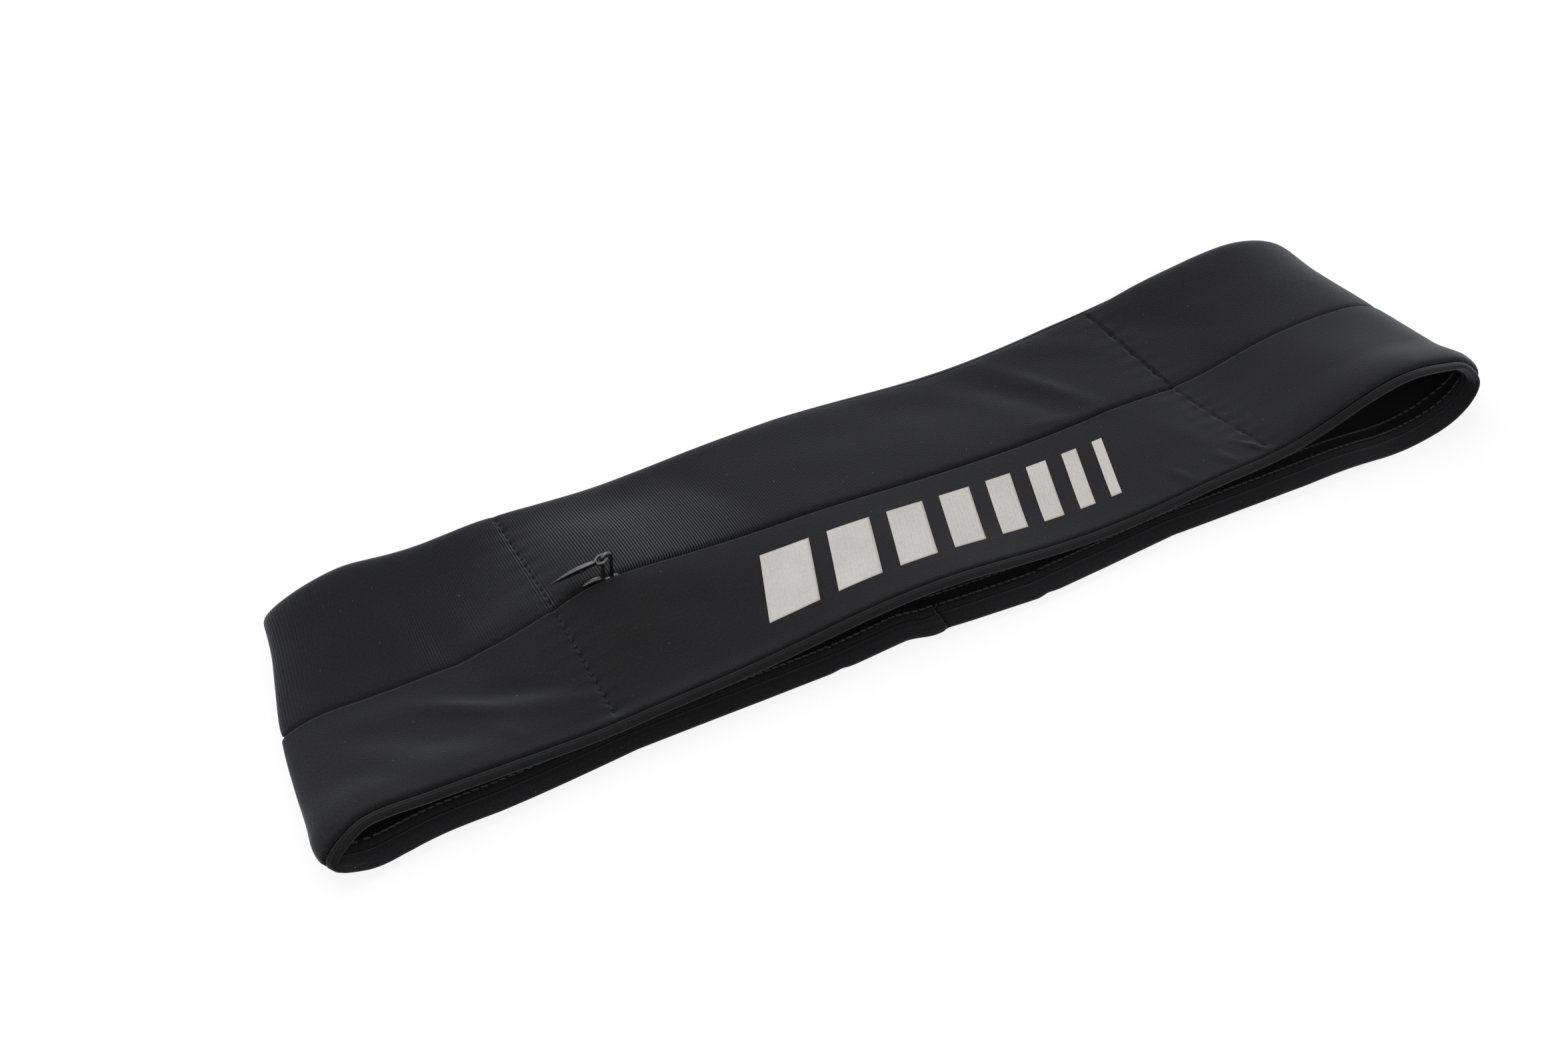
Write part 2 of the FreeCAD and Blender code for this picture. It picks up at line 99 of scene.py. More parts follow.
# How far the panels puff up beside the rim grooves, at places along the top.
PUFF_X = (-206, -185, -160, -140, -121, -100, 0, 60, 108, 125, 150, 185, 206)
FRONT_PUFF = (1.2, 1.2, 1.0, 0.7, 0.3, 0.5, 0.5, 0.5, 0.3, 0.9, 1.5, 2.0, 2.0)
REAR_PUFF = (1.0, 1.2, 1.6, 1.2, 0.3, 0.6, 0.5, 0.6, 0.3, 1.4, 2.0, 1.2, 1.0)
PUFF_START = 27.0
PUFF_SCALE = 3.5

# The front rim of the back half wanders a little: places along X, and how far it stands out.
DRIFT_X = (-206, -198, -188, -174, -160, -118, -80, -50, -29, -7, 16, 43, 71, 98, 125, 160, 188, 206)
DRIFT = (5.0, 3.8, 2.6, 2.1, 2.1, -0.7, 0.2, 0.6, -0.6, 1.7, 3.6, 2.1, 0.1, 1.0, 2.5, 2.6, 2.0, 0.8)

# The cloth: half the belt's width, one thickness of knit and the whole wall from outside to inside.
HALF_WIDTH = 50.0
FABRIC = 0.8
STACK = 3.0

# Across the belt: the lips at the centre seam, and the groove between panel and facing on each side.
SEAM_LIP = 0.5
LIP_CLOSING = 0.34
GROOVE = 46.8
UPPER_GROOVE = 46.0
GROOVE_HALF = 0.34

# The facing: how its band falls towards the rim, how thick the rim is, and the leg on the wearer's side,
# which bulges from the rim, has a trench and a ridge, and ends under the tape. The elastic lies inside it.
BAND_FALL = 0.16
RIM_THICKNESS = 2.3
LEG_BULGE = 0.4
LEG_BULGE_END = 44.7
LEG_TRENCH = 0.6
LEG_TRENCH_V = 44.5
LEG_RIDGE = 0.3
LEG_RIDGE_V = 43.5
LEG_FOOT = 43.6
RIM_TURN = 40.0
ELASTIC_EDGES = (40.6, 46.4)

# The ribbed tape: its edges, its two raised rows, which the cover stitch follows, and the pitch of its ribs.
TAPE_EDGES = (37.2, 42.8)
TAPE_RIDGE = 0.55
TAPE_ROWS = (38.1, 42.2)
TAPE_PITCH = 0.9

# Seams and stitches across the belt, and the join of the back half.
LEFT_SEAM_X = -121.0
RIGHT_SEAM_X = 108.0
JOIN_X = -16.0
BACK_SEAMS_X = (-52.0, 20.0)
BACK_NOTCH = 0.5
BACK_DIP = 0.9
JOIN_STEP = 0.9
JOIN_DIP = 1.4
JOIN_BUMP = 1.3

# The tape over the back join: how far it reaches to each side of the join, and its ends across the belt.
COVER_REACH = 4
COVER_EDGE = 36.5

# A row of stitches starts this far from the centre line, the back half's rows end before the tapes, and a
# stitch is this long.
HALF_STITCH = 1.4
BACK_ROW_END = 34.0
STITCH_LENGTH = 2.0

# The zip: its two ends and how far past them the stops lie, the outer edge of its tapes, and where a coil and
# a top stop lie across the belt and in its depth. The seam's allowance reaches this far to each side.
TOP_STOP_X = -109.8
BOTTOM_STOP_X = 102.0
STOP_GAP = 1.5
ZIP_TAPE_EDGE = 9.8
COIL_V = 1.5
COIL_DEPTH = 2.05
COIL_WIRE = 0.8
TOP_STOP_V = 1.75
SEAM_ALLOWANCE = 2.6

# The slider's pin over the crest, how far the puller droops and rolls, and the puller's, its eye's and the
# bridge's sizes.
PIN_HEIGHT = 8.1
PULLER_DROOP = 23.4
PULLER_ROLL = -44.0
PULLER_LENGTH = 18.5
PULLER_WIDTH = 5.2
PULLER_THICKNESS = 2.1
EYE_REACH = 3.6
EYE_WIDTH = 3.5
BRIDGE_HEIGHT = 9.8
BRIDGE_SPAN = 3.8
BRIDGE_WIRE = 1.05

# The reflective bars: where they lie, the first and last bar's width, and how far a bar leans.
FILM_X = (-68.0, 70.0)
FILM_V = (-36.0, -11.0)
FILM_FIRST = 17.0
FILM_LAST = 4.0
FILM_SLANT = 10.0

# The camera and its target in metres, and its focal length. The floor in mm, just under the lowest cloth, and
# how white it is to the camera. The world's light.
CAMERA_PLACE = (-0.24585, -0.36051, 0.36712)
CAMERA_TARGET = (-0.034, 0.017, 0.0)
CAMERA_LENS = 40.44
FLOOR_Z = -1.85
FLOOR_REACH = 4000.0
FLOOR_WHITE = 0.85
WORLD_LEVEL = 0.5


def closed_spline(knots, length, places):
    """Weights that turn knot values into a closed cubic spline's values at the places.

    Between two knots the curve is a cubic, and its slope and its bend agree on both sides of a knot.
    """
    count = len(knots)
    here = np.arange(count)
    after = (here + 1) % count
    gap = np.diff(np.append(knots, knots[0] + length))
    gap_before = np.roll(gap, 1)
    bend = np.zeros((count, count))
    rise = np.zeros((count, count))
    bend[here, here - 1] = gap_before
    bend[here, here] = 2 * (gap_before + gap)
    bend[here, after] = gap
    rise[here, here - 1] = 6 / gap_before
    rise[here, here] = -6 / gap - 6 / gap_before
    rise[here, after] = 6 / gap
    bends = np.linalg.solve(bend, rise)
    wrapped = np.mod(places - knots[0], length) + knots[0]
    cell = np.clip(np.searchsorted(knots, wrapped, side="right") - 1, 0, count - 1)
    u = (wrapped - knots[cell]) / gap[cell]
    w = 1 - u
    weights = np.zeros((len(wrapped), count))
    rows = np.arange(len(wrapped))
    weights[rows, cell] += w
    weights[rows, after[cell]] += u
    scale = (gap[cell] ** 2 / 6)[:, None]
    weights += (w ** 3 - w)[:, None] * scale * bends[cell]
    weights += (u ** 3 - u)[:, None] * scale * bends[after[cell]]
    return weights


def outline_knots():
    """The knots of the three outlines, their places along the loop and where the top half is.

    A knot's place is the length of the straight runs between the centre outline's knots up to it.
    """
    lines = {}
    for name, heights in (("front", FRONT_TOP), ("centre", CENTRE_TOP), ("rear", REAR_TOP)):
        bottom = np.array([(x, 0.0) for x in BOTTOM_X])
        top = np.array(list(zip(TOP_X, heights)), float)
        if name == "rear":
            for row in (bottom, top):
                row[:, 0] += REAR_FOLD_SHIFT * np.clip((REAR_FOLD_START - row[:, 0]) / REAR_FOLD_RUN, 0, 1)
        lines[name] = np.vstack([bottom, LEFT_FOLD[name], top, RIGHT_LOOP[name]])
    steps = np.diff(np.vstack([lines["centre"], lines["centre"][:1]]), axis=0)
    run = np.hypot(steps[:, 0], steps[:, 1])
    places = np.concatenate([[0.0], np.cumsum(run)[:-1]])
    level = np.concatenate([
        np.zeros(len(BOTTOM_X)), (0.0, 0.3, 0.9), np.ones(len(TOP_X)), (0.9, 0.5, 0.0)])
    return lines, places, run.sum(), level


OUTLINES, KNOT_PLACES, LOOP_LENGTH, TOP_LEVEL = outline_knots()


def smooth_step(t):
    """t^2 (3 - 2t): rises from 0 to 1 with level ends."""
    t = np.clip(t, 0, 1)
    return t * t * (3 - 2 * t)


def belt_surface(places, across):
    """The belt's outer surface without wrinkles, for places along the loop and across it.

    Across the belt each point goes evenly from the front outline to the rear one. The centre outline's
    height over their mean is added with the share (1 - (v / station)^2)^2. Outside the stations the rim
    curls by the square of the distance. Both ends tuck in at the rims. The front rim of the back half drifts
    outwards, with a small notch at each row of back stitches and a bump beside the join.
    """
    weights = closed_spline(KNOT_PLACES, LOOP_LENGTH, places)
    front = (weights @ OUTLINES["front"])[:, None, :]
    centre = (weights @ OUTLINES["centre"])[:, None, :]
    rear = (weights @ OUTLINES["rear"])[:, None, :]
    top = np.clip(weights @ TOP_LEVEL, 0, 1)[:, None]
    v = np.broadcast_to(across, (len(places), np.shape(across)[-1]))
    lean = ((v + STATION) / (2 * STATION))[..., None]
    share = (np.clip(1 - (v / STATION) ** 2, 0, None) ** 2)[..., None]
    flat = front + (rear - front) * lean + (centre - (front + rear) / 2) * share
    x, z = flat[..., 0], flat[..., 1]
    curl = top * np.clip((np.abs(v) - CURL_START) / (HALF_WIDTH - CURL_START), 0, None) ** 2
    turn = np.where(v < 0, np.interp(x, CURL_X, FRONT_CURL), np.interp(x, CURL_X, REAR_CURL))
    z = z + curl * turn
    x = x - RIM_TUCK * smooth_step((x - TUCK_START) / 14) * np.clip((np.abs(v) - CURL_START) / 9, 0, 1)
    x = x + LEFT_TUCK * smooth_step((-x - TUCK_START) / 16) * np.clip((-v - 40) / 10, 0, 1) ** 1.5
    drift = np.interp(x, DRIFT_X, DRIFT) * (1 - top) * smooth_step((-v - 20) / 30)
    for notch_x in BACK_SEAMS_X:
        notch = np.exp(-((x - notch_x) / 2.5) ** 2) * smooth_step((-v - 44) / 6)
        drift = drift - (1 - top) * BACK_NOTCH * notch
    bump = np.exp(-((x - JOIN_X + 4.5) / 5) ** 2) * smooth_step((JOIN_X + 1 - x) / 2.5)
    drift = drift + (1 - top) * JOIN_BUMP * bump * smooth_step((-v - 35) / 12)
    draw = curl * np.where(v < 0, FRONT_DRAW, REAR_DRAW * turn)
    y = v * (1 - top * np.where(v < 0, FRONT_PULL, REAR_PULL)) + draw - drift
    return np.stack([x, y, z], axis=-1)


def surface_normals(places, across):
    """Outward unit normals: the cross product of the surface's slopes along and across the belt."""
    step = 0.4
    along = belt_surface(places + step, across) - belt_surface(places - step, across)
    over = belt_surface(places, across + step) - belt_surface(places, across - step)
    normal = np.cross(along, over)
    return normal / np.linalg.norm(normal, axis=-1, keepdims=True)


def seam_x(x, across):
    """The x of a pocket seam across the belt: the right seam leans a little."""
    return x - np.where(x > 0, 0.1, 0.0) * across


# Soft folds of the outer cloth: x, distance across, direction in degrees, half length, half width, height.
FOLDS = (
    (-157, -19, -37, 12, 3.4, 1.2),
    (-136, -30.5, -22, 13, 4.0, 0.7),
    (-148.5, -36.5, -67, 5, 1.9, 0.4),
    (-167, -27, -35, 20, 6.0, -0.8),
    (-178, -10, -5, 14, 5.5, 0.6),
    (-153, 8, -80, 13, 4.5, -0.6),
    (-143, 5, -80, 12, 4.5, 0.4),
    (-166, 20, -70, 16, 6.0, 0.5),
    (-206, -30, -80, 14, 3.0, 0.5),
    (-132, 7, 10, 12, 4.0, 0.4),
    (-98, 24, -8, 20, 11.0, 1.1),
    (-85, -20, -20, 24, 6.0, -0.5),
    (-80, 40, 15, 16, 5.0, 0.5),
    (-58, 24, -60, 18, 6.0, -0.6),
    (-20, 22, -15, 26, 8.0, 0.4),
    (25, 30, -25, 24, 7.0, -0.4),
    (52, 30, -50, 18, 6.0, -0.7),
    (70, 20, -60, 20, 3.4, 0.8),
    (62, 16, -62, 18, 4.5, -0.5),
    (66, 3, -14, 16, 2.8, 0.4),
    (84, 36, -30, 16, 5.0, 0.5),
    (80.5, -40, -73, 5, 1.8, 0.5),
    (98, -41.5, -66, 5, 2.0, 0.6),
    (110, -41.5, -54, 6, 1.2, 0.7),
    (96, -26, -70, 12, 4.0, 0.35),
    (124, -24, 35, 22, 6.0, 0.4),
    (122, 26, -30, 22, 7.0, -0.5),
    (-30, -24, 20, 24, 9.0, 0.35),
    (-141, -20.5, -28, 12, 4.0, -0.9),
    (-188, -33, -40, 14, 6.0, -0.7),
)
# How deep a pocket seam pulls the cloth in, how high the cloth stands right of the right seam, and the
# pitch of the stitches.
SEAM_PULL = 0.6
RIGHT_STEP = 0.55
STITCH_PITCH = 2.8


def seam_lift(off, v, right):
    """A pocket seam's pull on the cloth, in mm, by the distance off it along the belt.

    A narrow valley, deeper under each stitch, lies in a shallow one of exp(-(distance / 5)^2), and small
    puckers fade away from it with exp(-distance / 4.5). The right seam's valley comes and goes, and right of
    it the cloth stands a step higher, which fades with exp(-distance / 14).
    """
    stitch = np.cos(2 * math.pi * v / STITCH_PITCH)
    deep, half_width = SEAM_PULL, 1.0
    if right:
        patchy = np.clip(0.55 + 0.6 * np.cos(v / 1.7 + 0.6), 0.1, 1)
        deep, half_width = SEAM_PULL * patchy * np.where(v < 0, 0.6, 0.9), 0.7
    lift = -deep * (1 + 0.45 * stitch) * np.exp(-(off / half_width) ** 2)
    lift -= 0.35 * np.exp(-(off / 5.0) ** 2)
    lift += 0.14 * np.cos(math.pi * v / STITCH_PITCH + 0.7) * np.exp(-np.abs(off) / 4.5)
    if right:
        edge = smooth_step((off - 0.3 - 0.3 * stitch) / 0.7) * np.where(v < 0, 0.35, 1.0)
        lift += RIGHT_STEP * edge * np.exp(-np.clip(off, 0, None) / 14)
    return lift


def outer_lift(places, across, surface):
    """How far the outer cloth stands off the smooth surface, in mm along its normal.

    The folds are long Gaussian hills, turned to their direction, and fade at the rim grooves. At the left end
    the centre seam stands up a little. Beside each rim groove the panel puffs up with w^2 (1 - w)^(1/2): it
    rises slowly and drops steeply to the groove. The pocket seams' pull is added between the rims. All of it
    is on the front half only.
    """
    x = surface[..., 0]
    v = np.broadcast_to(across, x.shape)
    top = np.clip(closed_spline(KNOT_PLACES, LOOP_LENGTH, places) @ TOP_LEVEL, 0, 1)[:, None]
    lift = np.zeros(x.shape)
    for fold_x, fold_v, degrees, half_length, half_width, height in FOLDS:
        turn = math.radians(degrees)
        along = (x - fold_x) * math.cos(turn) + (v - fold_v) * math.sin(turn)
        over = (v - fold_v) * math.cos(turn) - (x - fold_x) * math.sin(turn)
        lift += height * np.exp(-(along / half_length) ** 2 - (over / half_width) ** 2)
    lift *= np.clip((GROOVE - np.abs(v)) / 3, 0, 1)
    lift += 0.15 * np.exp(-(v / 2.0) ** 2) * smooth_step((-x - 188) / 12)
    w = np.clip((np.abs(v) - PUFF_START) / (GROOVE - PUFF_START), 0, 1)
    puff = np.where(v < 0, np.interp(x, PUFF_X, FRONT_PUFF), np.interp(x, PUFF_X, REAR_PUFF))
    lift += PUFF_SCALE * puff * w ** 2 * np.sqrt(1 - w)
    inside = smooth_step((GROOVE - 1 - np.abs(v)) / 3)
    for seam in (LEFT_SEAM_X, RIGHT_SEAM_X):
        lift += inside * seam_lift(x - seam_x(seam, v), v, seam == RIGHT_SEAM_X)
    return lift * smooth_step(top * 1.6)


def place_of_x(x, top=True):
    """The place along the loop of an x on the top half or the back half, read off the centre outline."""
    samples = np.linspace(0, LOOP_LENGTH, 3000, endpoint=False)
    weights = closed_spline(KNOT_PLACES, LOOP_LENGTH, samples)
    line = weights @ OUTLINES["centre"]
    half = (weights @ TOP_LEVEL) > 0.5
    pick = half if top else ~half
    xs, at = line[pick, 0], samples[pick]
    order = np.argsort(xs)
    return np.interp(x, xs[order], at[order])


# ---------------------------------------------------------------- meshes


JOIN_PLACE = float(place_of_x(JOIN_X, top=False))
BACK_SEAM_PLACES = [float(place_of_x(x, top=False)) for x in BACK_SEAMS_X]


def inner_step(places, across):
    """How far the wearer's side of the back half stands up, in mm.

    On one side of the join it rises at once and falls away over 40 mm. The join pulls it down, and inside the
    rims each row of back stitches does too, both with exp(-distance^2).
    """
    off = (np.mod(places - JOIN_PLACE + LOOP_LENGTH / 2, LOOP_LENGTH) - LOOP_LENGTH / 2)[:, None]
    on_tape = smooth_step((43.5 - np.abs(across)) / 2.0)
    step = JOIN_STEP * smooth_step(off / 0.6) * smooth_step((46 - off) / 40)
    step = step - JOIN_DIP * np.exp(-((off + 0.4) / 0.35) ** 2)
    for seam in BACK_SEAM_PLACES:
        step = step - BACK_DIP * on_tape * np.exp(-((places[:, None] - seam) / 0.7) ** 2)
    return step


def cloth_points(places, across, depth, lift_share=1.0):
    """Points in the cloth: the smooth surface, lifted by the folds and set in by the depth, along its normal.

    Towards the wearer's side the depth grows by the inner step, by the square of its share of the stack.
    """
    surface = belt_surface(places, across)
    normal = surface_normals(places, across)
    lift = outer_lift(places, across, surface) * lift_share
    deep = depth + inner_step(places, across) * np.clip(depth / STACK, 0, 1) ** 2
    return surface + normal * (lift - deep)[..., None]


def loop_places(spacing, fine_spacing, fine_at=(), reach=8.0):
    """Places round the whole loop, close together near the places named.

    The number of rows per mm is 1 / spacing plus a bump exp(-(distance / reach)^4), and its running sum
    is turned round to give each row's place.
    """
    samples = np.linspace(0, LOOP_LENGTH, 12000)
    rows_per_mm = np.full(len(samples), 1 / spacing)
    for place in fine_at:
        off = np.mod(samples - place + LOOP_LENGTH / 2, LOOP_LENGTH) - LOOP_LENGTH / 2
        rows_per_mm = np.maximum(rows_per_mm, np.exp(-(off / reach) ** 4) / fine_spacing)
    total = np.concatenate([[0.0], np.cumsum((rows_per_mm[1:] + rows_per_mm[:-1]) / 2 * np.diff(samples))])
    count = int(round(total[-1]))
    return np.interp(np.arange(count) / count * total[-1], total, samples)


def grid_faces(u, v, rows, columns, close_rows, close_columns):
    """Four-sided faces of a grid of points and the (u, v) of their corners.

    The grid is closed in each direction where asked. u has one value for each row and v one for each column,
    and one more where that direction closes.
    """
    r = np.arange(rows if close_rows else rows - 1)[:, None]
    c = np.arange(columns if close_columns else columns - 1)[None, :]
    corners = []
    places = []
    for down, right in ((0, 0), (0, 1), (1, 1), (1, 0)):
        corners.append(((r + down) % rows) * columns + (c + right) % columns)
        pair = np.broadcast_arrays(u[r + down], v[c + right])
        places.append(np.stack(pair, axis=-1))
    faces = np.stack(corners, axis=-1).reshape(-1, 4)
    return faces, np.stack(places, axis=2).reshape(-1, 2)


def signed_volume(points, faces):
    """The volume inside a closed mesh: a sixth of each triangle's triple product, summed."""
    total = 0.0
    for face in faces:
        corners = points[face]
        first = corners[:, :1]
        fan = np.cross(corners[:, 1:-1] - first, corners[:, 2:] - first)
        total += (fan * first).sum() / 6
    return total


def make_piece(name, points, faces, places, material, body):
    """Puts points in mm and groups of faces into a new mesh object with a UV map in metres.

    faces is a list of whole arrays, one for each number of corners, and places the (u, v) of their corners in
    the same order. A shell that comes out inside out is turned round.
    """
    points = points.reshape(-1, 3)
    if signed_volume(points, faces) < 0:
        places = [pair.reshape(len(group), -1, 2)[:, ::-1].reshape(-1, 2)
                  for group, pair in zip(faces, places)]
        faces = [group[:, ::-1] for group in faces]
    mesh = bpy.data.meshes.new(name)
    mesh.from_pydata((points * MM).tolist(), [], [row for group in faces for row in group.tolist()])
    layer = mesh.uv_layers.new(name="cloth")
    layer.data.foreach_set("uv", (np.concatenate(places) * MM).ravel())
    mesh.polygons.foreach_set("use_smooth", np.ones(len(mesh.polygons), dtype=bool))
    mesh.materials.append(material)
    mesh.update()
    piece = bpy.data.objects.new(name, mesh)
    bpy.context.scene.collection.objects.link(piece)
    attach(piece, body)
    return piece


def lengths_along(line):
    """The running length along a line of points."""
    steps = np.linalg.norm(np.diff(line, axis=0), axis=-1)
    return np.concatenate([[0.0], np.cumsum(steps)])


def ring_piece(name, places, profile, material, lift_share=1.0, shift=0.0):
    """A closed profile of (across, depth) points carried round the whole loop, moved across by the shift."""
    across, depth = profile[:, 0] + shift, profile[:, 1]
    points = cloth_points(places, across, depth[None, :], lift_share)
    u = np.append(places, places[0] + LOOP_LENGTH)
    v = lengths_along(np.vstack([profile, profile[:1]]))
    faces, corners = grid_faces(u, v, len(places), len(profile), True, True)
    return make_piece(name, points, [faces], [corners], material, "belt")


def strip_piece(name, places, profile, material, lift_share=1.0):
    """A closed profile of (across, depth) points carried along part of the loop, with flat ends."""
    across, depth = profile[:, 0], profile[:, 1]
    points = cloth_points(places, across, np.broadcast_to(depth, (len(places), len(depth))), lift_share)
    v = lengths_along(np.vstack([profile, profile[:1]]))
    faces, corners = grid_faces(places, v, len(places), len(profile), False, True)
    first = np.arange(len(profile))[None, ::-1]
    last = np.arange(len(profile))[None, :] + (len(places) - 1) * len(profile)
    ends = np.vstack([first, last])
    end_corners = np.vstack([profile[::-1], profile])
    return make_piece(name, points, [faces, ends], [corners, end_corners], material, "belt")


def arc(centre, radius, start, end, count):
    """Points of an arc in the (across, depth) plane, from one angle in degrees to another."""
    angle = np.radians(np.linspace(start, end, count))
    return np.stack([centre[0] + radius * np.cos(angle), centre[1] + radius * np.sin(angle)], axis=-1)


def line_points(start, end, spacing):
    """Points from start up to, and without, end."""
    count = max(int(round(math.hypot(end[0] - start[0], end[1] - start[1]) / spacing)), 1)
    share = (np.arange(count) / count)[:, None]
    return np.array(start) + (np.array(end) - np.array(start)) * share


def flat_profile(near, far, top, foot, spacing):
    """A thin strip's closed profile: flat faces at two depths and half-round edges."""
    half = (foot - top) / 2
    return np.vstack([
        line_points((near + half, top), (far - half, top), spacing),
        arc((far - half, top + half), half, -90, 90, 5)[:-1],
        line_points((far - half, foot), (near + half, foot), spacing),
        arc((near + half, top + half), half, 90, 270, 5)[:-1],
    ])


def panel_profile(side, lip_radius, dip):
    """One outer panel's closed profile: a rounded lip down into the centre seam, the flat of the strip,
    a roll down into the rim groove, and the underside one cloth thickness below."""
    edge = (GROOVE if side < 0 else UPPER_GROOVE) - GROOVE_HALF
    roll = 0.75
    skin = np.vstack([
        arc((SEAM_LIP + lip_radius, lip_radius), lip_radius, 180, 270, 8)[:-1],
        line_points((SEAM_LIP + lip_radius, 0), (4, 0), 0.6),
        line_points((4, 0), (edge - roll, 0), 0.7),
        arc((edge - roll, roll), roll, -90, 0, 6),
    ])
    foot_of_lip = max(lip_radius + 0.3, 1.9)
    below = np.vstack([
        line_points((edge, FABRIC + 0.05), (4, FABRIC + 0.05), 1.6),
        line_points((4, FABRIC), (SEAM_LIP + FABRIC + 0.5, FABRIC), 0.8),
        line_points((SEAM_LIP + FABRIC, FABRIC + 0.5), (SEAM_LIP + FABRIC, foot_of_lip), 0.6),
        np.array([(SEAM_LIP + FABRIC, foot_of_lip), (SEAM_LIP, foot_of_lip)]),
    ])
    profile = np.vstack([skin, below])
    profile[:, 1] += dip * np.exp(-profile[:, 0] / 1.8)
    profile[:, 0] *= side
    return profile


def rounded_end(centre, reach, half, power, count):
    """The outer half of a superellipse, flat to flat: x = reach |cos|^(2/n), y = half sin^(2/n)."""
    angle = np.linspace(-math.pi / 2, math.pi / 2, count)
    over = np.abs(np.cos(angle)) ** (2 / power) * reach
    down = np.sign(np.sin(angle)) * np.abs(np.sin(angle)) ** (2 / power) * half
    return np.stack([centre[0] + over, centre[1] + down], axis=-1)


def facing_profile(side):
    """One facing's closed profile, and the same line one cloth thickness inside.

    It goes down into the groove, along a flat band that falls a little towards the rim, round a blunt rim
    thinner than the wall, and back along the wearer's side. There its leg's outer face swells with half a
    sine from the rim, and has a trench and a ridge of exp(-distance^2).
    """
    start = (GROOVE if side < 0 else UPPER_GROOVE) + GROOVE_HALF
    shoulder = HALF_WIDTH - STACK / 2
    half = RIM_THICKNESS / 2
    outside = np.vstack([
        np.array([(start, FABRIC)]),
        arc((start + 0.4, 0.4), 0.4, 180, 270, 5)[:-1],
        line_points((start + 0.4, 0), (shoulder, 0), 0.4),
        rounded_end((shoulder, half), STACK / 2, half, 2.5, 15)[:-1],
        line_points((shoulder, 2 * half), (LEG_FOOT, STACK), 0.4),
        line_points((LEG_FOOT, STACK), (RIM_TURN, STACK), 0.6),
    ])
    inside = np.vstack([
        np.array([(RIM_TURN, STACK), (RIM_TURN - 0.2, STACK - FABRIC / 2), (RIM_TURN, STACK - FABRIC)]),
        line_points((RIM_TURN + 1.0, STACK - FABRIC), (LEG_FOOT, STACK - FABRIC), 1.3),
        line_points((LEG_FOOT, STACK - FABRIC), (shoulder, 2 * half - FABRIC), 1.3),
        arc((shoulder, half), half - FABRIC, 90, -90, 7)[:-1],
        line_points((shoulder, FABRIC), (start, FABRIC), 0.5)[:-1],
    ])
    profile = np.vstack([outside, inside])
    near_top = np.clip(1 - profile[:, 1] / STACK, 0, 1)
    profile[:, 1] += BAND_FALL * np.clip(profile[:, 0] - start, 0, None) * near_top
    leg = np.clip((profile[:, 0] - LEG_BULGE_END) / (shoulder - LEG_BULGE_END), 0, 1)
    slope = np.clip((shoulder - profile[:, 0]) / 5, 0, 0.7)
    on_outer_face = profile[:, 1] > 2 * half - 0.05 + (STACK - 2 * half) * slope
    ridge = LEG_RIDGE * np.exp(-((profile[:, 0] - LEG_RIDGE_V) / 0.45) ** 2)
    trench = LEG_TRENCH * np.exp(-((profile[:, 0] - LEG_TRENCH_V) / 0.35) ** 2)
    profile[:, 1] += (LEG_BULGE * np.sin(math.pi * leg) + ridge - trench) * on_outer_face
    profile[:, 0] *= side
    return profile


def bead_points(middles, along, up, length, thickness, rounds=6, rings=4):
    """Small capsules, all at once: rings of points round each one's own line, closed at both ends.

    Ring i stands at cos(pi i / rings) of the half length, and its radius is the square root of the sine.
    """
    share = np.linspace(0, math.pi, rings + 1)[1:-1]
    offset = np.cos(share) * length / 2
    radius = np.sqrt(np.sin(share)) * thickness / 2
    angle = np.arange(rounds) / rounds * 2 * math.pi
    side = np.cross(up, along)
    spoke = side[:, None, :] * np.cos(angle)[None, :, None] + up[:, None, :] * np.sin(angle)[None, :, None]
    rows = (middles[:, None, None, :] + along[:, None, None, :] * offset[None, :, None, None]
            + spoke[:, None, :, :] * radius[None, :, None, None])
    tips = middles[:, None, :] + along[:, None, :] * np.array([length / 2, -length / 2])[None, :, None]
    return np.concatenate([rows.reshape(len(middles), -1, 3), tips], axis=1)


def beads_piece(name, middles, along, up, length, thickness, material, body, rounds=6, rings=4):
    """A mesh of many small capsules: four-sided faces along each and a fan of triangles at each end."""
    points = bead_points(middles, along, up, length, thickness, rounds, rings)
    around = np.arange(rounds)
    following = (around + 1) % rounds
    quads = []
    for ring in range(rings - 2):
        row = ring * rounds
        quads.append(np.stack([row + around, row + following,
                               row + rounds + following, row + rounds + around], -1))
    quads = np.concatenate(quads) if quads else np.zeros((0, 4), int)
    last = (rings - 2) * rounds
    tip = (rings - 1) * rounds
    fans = np.concatenate([
        np.stack([np.full(rounds, tip), following, around], -1),
        np.stack([np.full(rounds, tip + 1), last + around, last + following], -1)])
    starts = (np.arange(len(middles)) * points.shape[1])[:, None, None]
    all_quads = (quads[None] + starts).reshape(-1, 4)
    all_fans = (fans[None] + starts).reshape(-1, 3)
    flat = points.reshape(-1, 3)
    places = [flat[group.ravel()][:, :2] for group in (all_quads, all_fans)]
    return make_piece(name, flat, [all_quads, all_fans], places, material, body)


